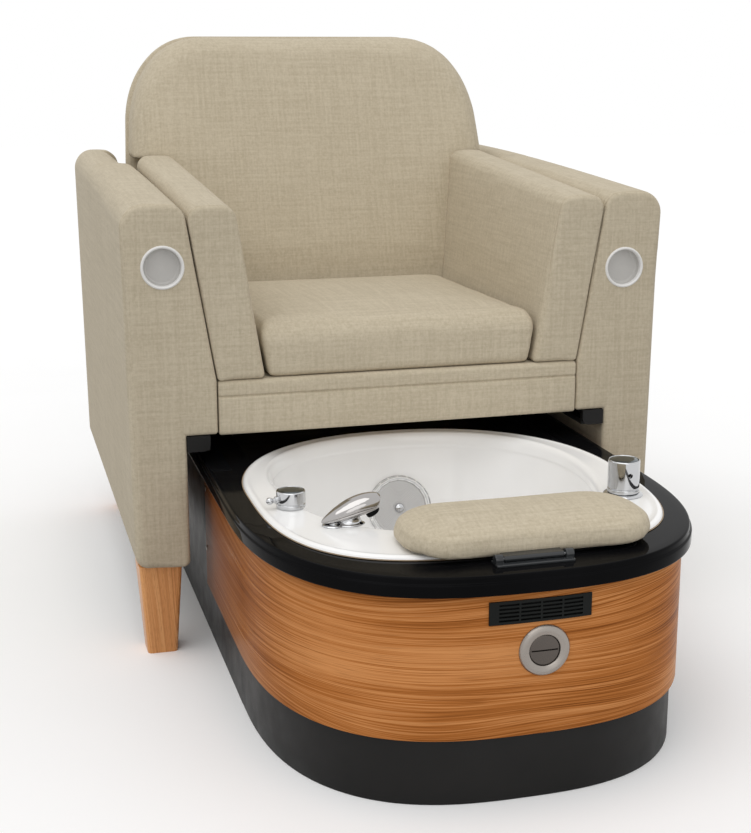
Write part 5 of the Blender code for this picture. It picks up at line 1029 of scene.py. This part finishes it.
def make_jet():
    """Jet in the rear wall: a glassy ring, a dished cover with fine ridges and a domed hub."""
    outer, inner = JET_RADIUS, JET_RADIUS - 0.008
    profile = [(inner, 0.045), (inner, -0.004), (inner + 0.0015, -0.009), (outer - 0.0025, -0.0095)]
    profile += [(outer, -0.005), (outer, 0.045), (inner + 0.001, 0.045)]
    mesh = spun("jet_housing", profile, JET_PLACE, JET_AXIS, 0.0022, 96, hollow=True)
    show("jet_ring", mesh, JET_CLEAR)
    ridges = np.linspace(0.012, 0.045, 27)
    profile = [(0.0045, -0.0018), (0.010, -0.0018)]
    profile += [(radius, -0.0018 - 0.0006 * (step % 2)) for step, radius in enumerate(ridges)]
    profile += [(0.0490, -0.0026), (0.0514, -0.0018), (0.0514, 0.0018), (0.0045, 0.0018)]
    mesh = spun("jet_cover", profile, JET_PLACE, JET_AXIS, 0.0005, 96, hollow=True)
    show("jet_cover_dish", mesh, JET_GREY, nodes=["jet_cover"])
    profile = [(0, -0.0085), (0.004, -0.0082), (0.0075, -0.0068), (0.009, -0.0045), (0.009, -0.0022)]
    profile.append((0, -0.0022))
    mesh = spun("jet_hub", profile, JET_PLACE, JET_AXIS, 0.001, 48)
    show("jet_hub_cap", mesh, CHROME)


def make_stopper():
    """Drain stopper: a domed cap with a thin rim, on its stem."""
    rest = 0.1436
    profile = [(0, rest + 0.0080), (0.012, rest + 0.0074), (0.024, rest + 0.0052), (0.0300, rest + 0.0030)]
    profile += [(0.0296, rest), (0.004, rest), (0.004, rest - 0.016), (0, rest - 0.016)]
    mesh = spun("drain_stopper", profile, (0.0, BASIN_MIDDLE, 0.0), soft=0.0012)
    show("drain_stopper_cap", mesh, CHROME, "stopper", ["drain_stopper"])


def make_cap(name, body, place, radius):
    """Smoked cap let into the top of a knob: a shallow dome inside the knob's rim."""
    profile = [(0, 0.0006), (radius * 0.6, 0.0003), (radius - 0.0030, -0.0006)]
    profile += [(radius - 0.0026, -0.0021), (0, -0.0021)]
    show(name, spun(name, profile, place, soft=0.0012), SMOKED, body)


def knob_top(radius, high):
    """Profile of a knob's dished top, from its middle over the rim to the side."""
    dish = high - KNOB_DISH
    profile = [(0, dish), (radius - 0.0025, dish), (radius - 0.0020, high), (radius - 0.0010, high)]
    return profile + [(radius, high - 0.0012)]


def make_mixer():
    """Mixer knob: a low drum with a dished top and a waist line, and a side lever that ends in a ball."""
    low, high, radius = DECK_LEVEL + CLEAR, DECK_LEVEL + CLEAR + 0.028, 0.023
    make_cap("mixer_cap", "mixer", (*MIXER_PLACE, high), radius)
    profile = knob_top(radius, high) + [(radius, low + 0.0085), (radius - 0.0010, low + 0.0080)]
    profile += [(radius - 0.0010, low + 0.0072), (radius, low + 0.0066), (radius, low + 0.0012)]
    profile.append((radius - 0.001, low))
    profile += [(0.008, low), (0.008, low - 0.012), (0, low - 0.012)]
    mesh = spun("mixer_knob", profile, (*MIXER_PLACE, 0.0), soft=0.0009, steps=96)
    show("mixer_knob_drum", mesh, CHROME, "mixer", ["mixer_knob"])
    out = np.array([math.cos(MIXER_LEVER_ANGLE), math.sin(MIXER_LEVER_ANGLE), 0.0])
    start = np.array([*MIXER_PLACE, low + 0.014]) + out * (radius + CLEAR)
    angle = np.linspace(-math.acos(0.0035 / 0.0058), math.pi / 2, 12)
    ball = np.stack([0.0058 * np.cos(angle), 0.012 + 0.0058 * np.sin(angle)], axis=1)
    neck = [(0, -0.001), (0.006, -0.001), (0.006, 0.003), (0.0035, 0.0036)]
    profile = np.vstack([neck, ball[:-1], [(0, 0.0178)]])
    mesh = spun("mixer_lever", profile, start, out, 0.0006, 48)
    show("mixer_lever_ball", mesh, CHROME, "mixer", ["mixer_lever"])


def make_collar(node_name, name, place, radius, height, bore=0.0):
    """Round base plate of a fitting: a low rounded disc on the deck."""
    low, top = DECK_LEVEL + CLEAR, DECK_LEVEL + CLEAR + height
    profile = [(bore, top), (radius - height * 0.9, top), (radius, low + height * 0.35), (radius, low)]
    profile.append((bore, low))
    mesh = spun(node_name, profile, (*place, 0.0), soft=height * 0.6, steps=96, hollow=bore > 0)
    show(name, mesh, CHROME, nodes=[node_name])


def make_diverter():
    """Diverter knob: a tall drum with a foot line, an eased top rim and a set-screw dimple in front."""
    make_collar("diverter_flange", "diverter_base", DIVERTER_PLACE, 0.032, 0.004)
    low, radius = DECK_LEVEL + 0.004 + 2 * CLEAR, 0.0255
    high, groove = low + 0.054, low + 0.0076
    make_cap("diverter_cap", "diverter", (*DIVERTER_PLACE, high), radius)
    profile = knob_top(radius, high) + [(radius, groove + 0.0012), (radius - 0.0014, groove + 0.0007)]
    profile += [(radius - 0.0014, groove - 0.0007), (radius, groove - 0.0012), (radius, low + 0.0012)]
    profile += [(radius - 0.0012, low), (0, low)]
    mesh = spun("diverter_knob", profile, (*DIVERTER_PLACE, 0.0), soft=0.0009, steps=96)
    x, y = DIVERTER_PLACE
    dimple = rod(0.0040, (x, y - 0.05, low + 0.0324), (x, y - radius + 0.0050, low + 0.0324), 32)
    show("diverter_knob_drum", mesh, CHROME, "diverter", ["diverter_knob"], [dimple])
    # Painted shade: the dark set screw stands for the shade inside the dimple.
    profile = [(0, 0.0010), (0.0022, 0.0010), (0.0034, 0.0002), (0.0034, -0.0006), (0, -0.0006)]
    screw = spun("set_screw", profile, (x, y - radius + 0.0042, low + 0.0324), (0, -1, 0), 0.0005, 32)
    show("diverter_set_screw", screw, DARK, "diverter")


def make_spray():
    """Spray: oval sections along a rising line make a duck-bill head with a parting line, over a saddle on
    the deck, with a dark nozzle under its beak and a stem down into the dock."""
    make_collar("spray_dock", "spray_dock_ring", SPRAY_PLACE, 0.017, 0.003, 0.0086)
    centre, depth = SPRAY_PLACE
    share = [0.0, 0.02, 0.06, 0.12, 0.2, 0.3, 0.4, 0.5, 0.6, 0.7, 0.8, 0.88, 0.94, 0.98, 1.0]
    wide = [0.08, 0.22, 0.34, 0.50, 0.66, 0.80, 0.91, 0.98, 1.0, 0.99, 0.96, 0.91, 0.83, 0.71, 0.56]
    thick = [0.08, 0.20, 0.33, 0.50, 0.68, 0.83, 0.94, 0.99, 1.0, 0.99, 0.95, 0.90, 0.82, 0.71, 0.57]
    fine = np.linspace(0.0, 1.0, 60)
    wide, thick = np.interp(fine, share, wide)[:, None], np.interp(fine, share, thick)[:, None]
    angle = np.linspace(0.0, math.tau, 120, endpoint=False)
    parting = 1 - 0.13 * np.exp(-(((np.sin(angle) + 0.30) / 0.06) ** 2))
    level = SPRAY_LEVEL + SPRAY_RISE * np.sin(fine * math.pi / 2)[:, None]
    x = centre - 0.018 + SPRAY_LENGTH * fine[:, None] + 0.005 * thick * np.sin(angle)
    y = depth + 0.0200 * wide * np.cos(angle) * parting
    z = level + 0.0175 * thick * np.sin(angle) * parting
    mesh = surface("spray_head", capped(np.stack([x, y, z], axis=2), rear=(0.002, 0.0, 0.0), steps=4))
    # The head's darker chrome is painted dark reflection.
    show("spray_head_shell", mesh, DEEP_CHROME, "spray", ["spray_head"], crisp=60.0)
    profile = [(0, 0.296), (0.0072, 0.296), (0.0078, 0.2975), (0.0078, 0.3665), (0, 0.3665)]
    mesh = spun("spray_stem", profile, (centre, depth, 0.0), soft=0.0008, steps=48)
    show("spray_stem_rod", mesh, CHROME, "spray", ["spray_stem"])
    turn = np.linspace(0.0, math.tau, 64, endpoint=False)
    keys = [(0.3574, 0.0235, 0.0165), (0.3588, 0.0230, 0.0160), (0.3615, 0.0185, 0.0128)]
    keys += [(0.3660, 0.0165, 0.0116), (0.3720, 0.0155, 0.0110), (0.3745, 0.0150, 0.0106)]
    rings = []
    for height, length, width in keys:
        rings.append(lift(np.stack([length * np.cos(turn), width * np.sin(turn)], axis=1), "z", height))
    saddle = through(np.array(rings) + (centre + 0.026, depth, 0.0), 4)
    show("spray_saddle", surface("spray_saddle", capped(saddle, steps=4)), CHROME, crisp=60.0)
    tilt = math.radians(35.0)
    profile = [(0, 0.0176), (0.0085, 0.0176), (0.0085, 0.0190), (0.0098, 0.0197), (0.0110, 0.0188)]
    profile += [(0.0110, 0.005), (0, 0.005)]
    place = (centre + 0.052, depth, SPRAY_LEVEL + SPRAY_RISE * math.sin(0.795 * math.pi / 2))
    mesh = spun("spray_nozzle", profile, place, (math.sin(tilt), 0.0, -math.cos(tilt)), 0.0006, 48)
    show("spray_nozzle_face", mesh, DARK, "spray", ["spray_nozzle"])


def make_ports():
    """Arm ports: a thin rounded ring round a dish with faint concentric rings."""
    for name, (x, z) in PORTS.items():
        ring, dish = PORT_RADIUS, PORT_DISH_RADIUS
        profile = [(dish, -0.004), (dish + 0.0006, 0.0014), (dish + 0.0025, 0.0032), (ring - 0.0022, 0.0034)]
        profile += [(ring, 0.0018), (ring, -0.0012), (dish + 0.0028, -0.0014), (dish + 0.0020, -0.004)]
        mesh = spun(name, profile, (x, 0.0, z), (0, -1, 0), 0.0012, 96, hollow=True)
        show(name + "_ring", mesh, PORT_WHITE, nodes=[name])
        steps = np.linspace(0.004, 0.027, 24)
        profile = [(0, -0.012)]
        profile += [(radius, -0.012 + 0.0004 * (step % 2)) for step, radius in enumerate(steps)]
        profile += [(0.0295, -0.0105), (dish + 0.0005, -0.0040), (dish + 0.0005, -0.039), (0, -0.039)]
        mesh = spun(name, profile, (x, 0.0, z), (0, -1, 0), 0.0015, 96)
        show(name + "_dish", mesh, PORT_GREY)


def make_latch():
    """Turn latch: a domed bezel in the veneer and a recessed disc with a coin slot across it."""
    x, z = LATCH_PLACE
    face = min(tub_face(x - LATCH_RADIUS), tub_face(x), tub_face(x + LATCH_RADIUS)) - CLEAR
    place, bore, ring = (x, face, z), LATCH_DISC_RADIUS + 0.0006, LATCH_RADIUS
    profile = [(bore, -0.018), (bore, 0.0022), (bore + 0.0012, 0.0034), (ring * 0.80, 0.0054)]
    profile += [(ring * 0.94, 0.0040), (ring, 0.0006), (ring, -0.0008), (0.0285, -0.0010), (0.0285, -0.018)]
    mesh = spun("latch_bezel", profile, place, (0, -1, 0), 0.0014, 96, hollow=True)
    show("latch_bezel_ring", mesh, NICKEL, nodes=["latch_bezel"])
    front, edge = 0.0014, LATCH_DISC_RADIUS + 0.0003
    profile = [(0, front + 0.0006), (0.012, front + 0.0005), (edge - 0.0009, front), (edge, front - 0.0009)]
    profile += [(edge, -0.018), (0, -0.018)]
    mesh = spun("latch_disc", profile, place, (0, -1, 0), 0.001, 96)
    slot = block((x - 0.020, face - 0.01, z - 0.0011), (x + 0.020, face + 0.002, z + 0.0011))
    # The disc's darker nickel is painted dark reflection.
    show("latch_disc_face", mesh, NICKEL_DISC, "latch", ["latch_disc"], [slot])


# Stage, light and camera


def seen_directly(tree):
    """1 for rays from the eye, by way of mirrors and glass too, and 0 for rays that gather light."""
    path = node(tree, "LightPath").outputs
    seen = path["Is Camera Ray"]
    for ray in ("Is Glossy Ray", "Is Transmission Ray"):
        seen = node(tree, "Math", {0: seen, 1: path[ray]}, operation="MAXIMUM").outputs[0]
    return seen


def make_stage():
    """A pale floor, two broad soft lamps from above and from the front, and a world that is white to the
    eye and dimmer as light. The floor is pale to the eye and throws less light back at the chair."""
    corners = rectangle(-FLOOR_REACH, -FLOOR_REACH, FLOOR_REACH, FLOOR_REACH)
    mesh = bpy.data.meshes.new("floor")
    mesh.from_pydata(lift(corners, "z", -0.0002).tolist(), [], [(0, 1, 2, 3)])
    floor = bpy.data.objects.new("floor", mesh)
    bpy.context.scene.collection.objects.link(floor)
    made, tree, shader = finish("pale_floor", Roughness=0.9, Specular_IOR_Level=0.0)
    place = node(tree, "TexCoord").outputs["Object"]
    stops = [(0.3, (0.985, 0.985, 0.985)), (0.7, (1.0, 1.0, 1.0))]
    tone = ramp(tree, noise(tree, place, (2.0, 2.0, 2.0)), stops)
    shade = tint(tree, seen_directly(tree), (0.46, 0.46, 0.46, 1.0), tone)
    tree.links.new(shade, shader.inputs["Base Color"])
    mesh.materials.append(made)
    lamps = {"overhead": (0.85, 55.0, (0.3, 0.22, -0.93)), "front": (0.28, 40.0, (0.1, 0.93, -0.35))}
    for name, (strength, width, way) in lamps.items():
        lamp = bpy.data.lights.new(name, "SUN")
        lamp.energy = strength
        lamp.angle = math.radians(width)
        light = bpy.data.objects.new(name, lamp)
        light.location = Vector(way) * -4.0
        light.rotation_euler = Vector(way).to_track_quat("-Z", "Y").to_euler()
        bpy.context.scene.collection.objects.link(light)
    world = bpy.data.worlds.new("studio")
    world.use_nodes = True
    tree = world.node_tree
    background = tree.nodes["Background"]
    background.inputs["Color"].default_value = (1.0, 1.0, 1.0, 1.0)
    tree.links.new(span(tree, seen_directly(tree), 0.0, 1.0, 0.74, 1.0), background.inputs["Strength"])
    bpy.context.scene.world = world
    bpy.context.scene.view_settings.view_transform = "Standard"


def make_camera():
    """Camera at the photograph's viewing angle: to the left of the chair's front, looking a little down."""
    lens = bpy.data.cameras.new("camera")
    lens.lens = LENS_LENGTH
    lens.sensor_width = 36.0
    camera = bpy.data.objects.new("camera", lens)
    camera.location = CAMERA_PLACE
    camera.rotation_euler = (math.pi / 2 - CAMERA_PITCH, 0.0, -CAMERA_YAW)
    bpy.context.scene.collection.objects.link(camera)
    bpy.context.scene.camera = camera


def dress_nodes():
    """Gives every node of the frame the look of its slot."""
    for part in frame["record"]["subparts"]:
        piece = frame["nodes"][part["node"]]
        piece.data.materials.clear()
        piece.data.materials.append(LOOKS[part["material_slot"]])
    frame["nodes"]["footrest_board"].data.materials[0] = SMOKED_PLATE


make_camera()
make_stage()
dress_nodes()
make_outer_arm("left_outer_arm", -1, "left_port")
make_outer_arm("right_outer_arm", 1, "right_port")
make_rear_panel()
make_front_rail()
make_inner_arm("left_inner_arm", -1)
make_inner_arm("right_inner_arm", 1)
make_seat_cushion()
make_backrest()
make_footrest_pad()
make_cabinet()
make_vent_painted_shade()
make_counter()
make_hinge()
make_basin()
make_jet()
make_stopper()
make_mixer()
make_diverter()
make_spray()
make_ports()
make_latch()
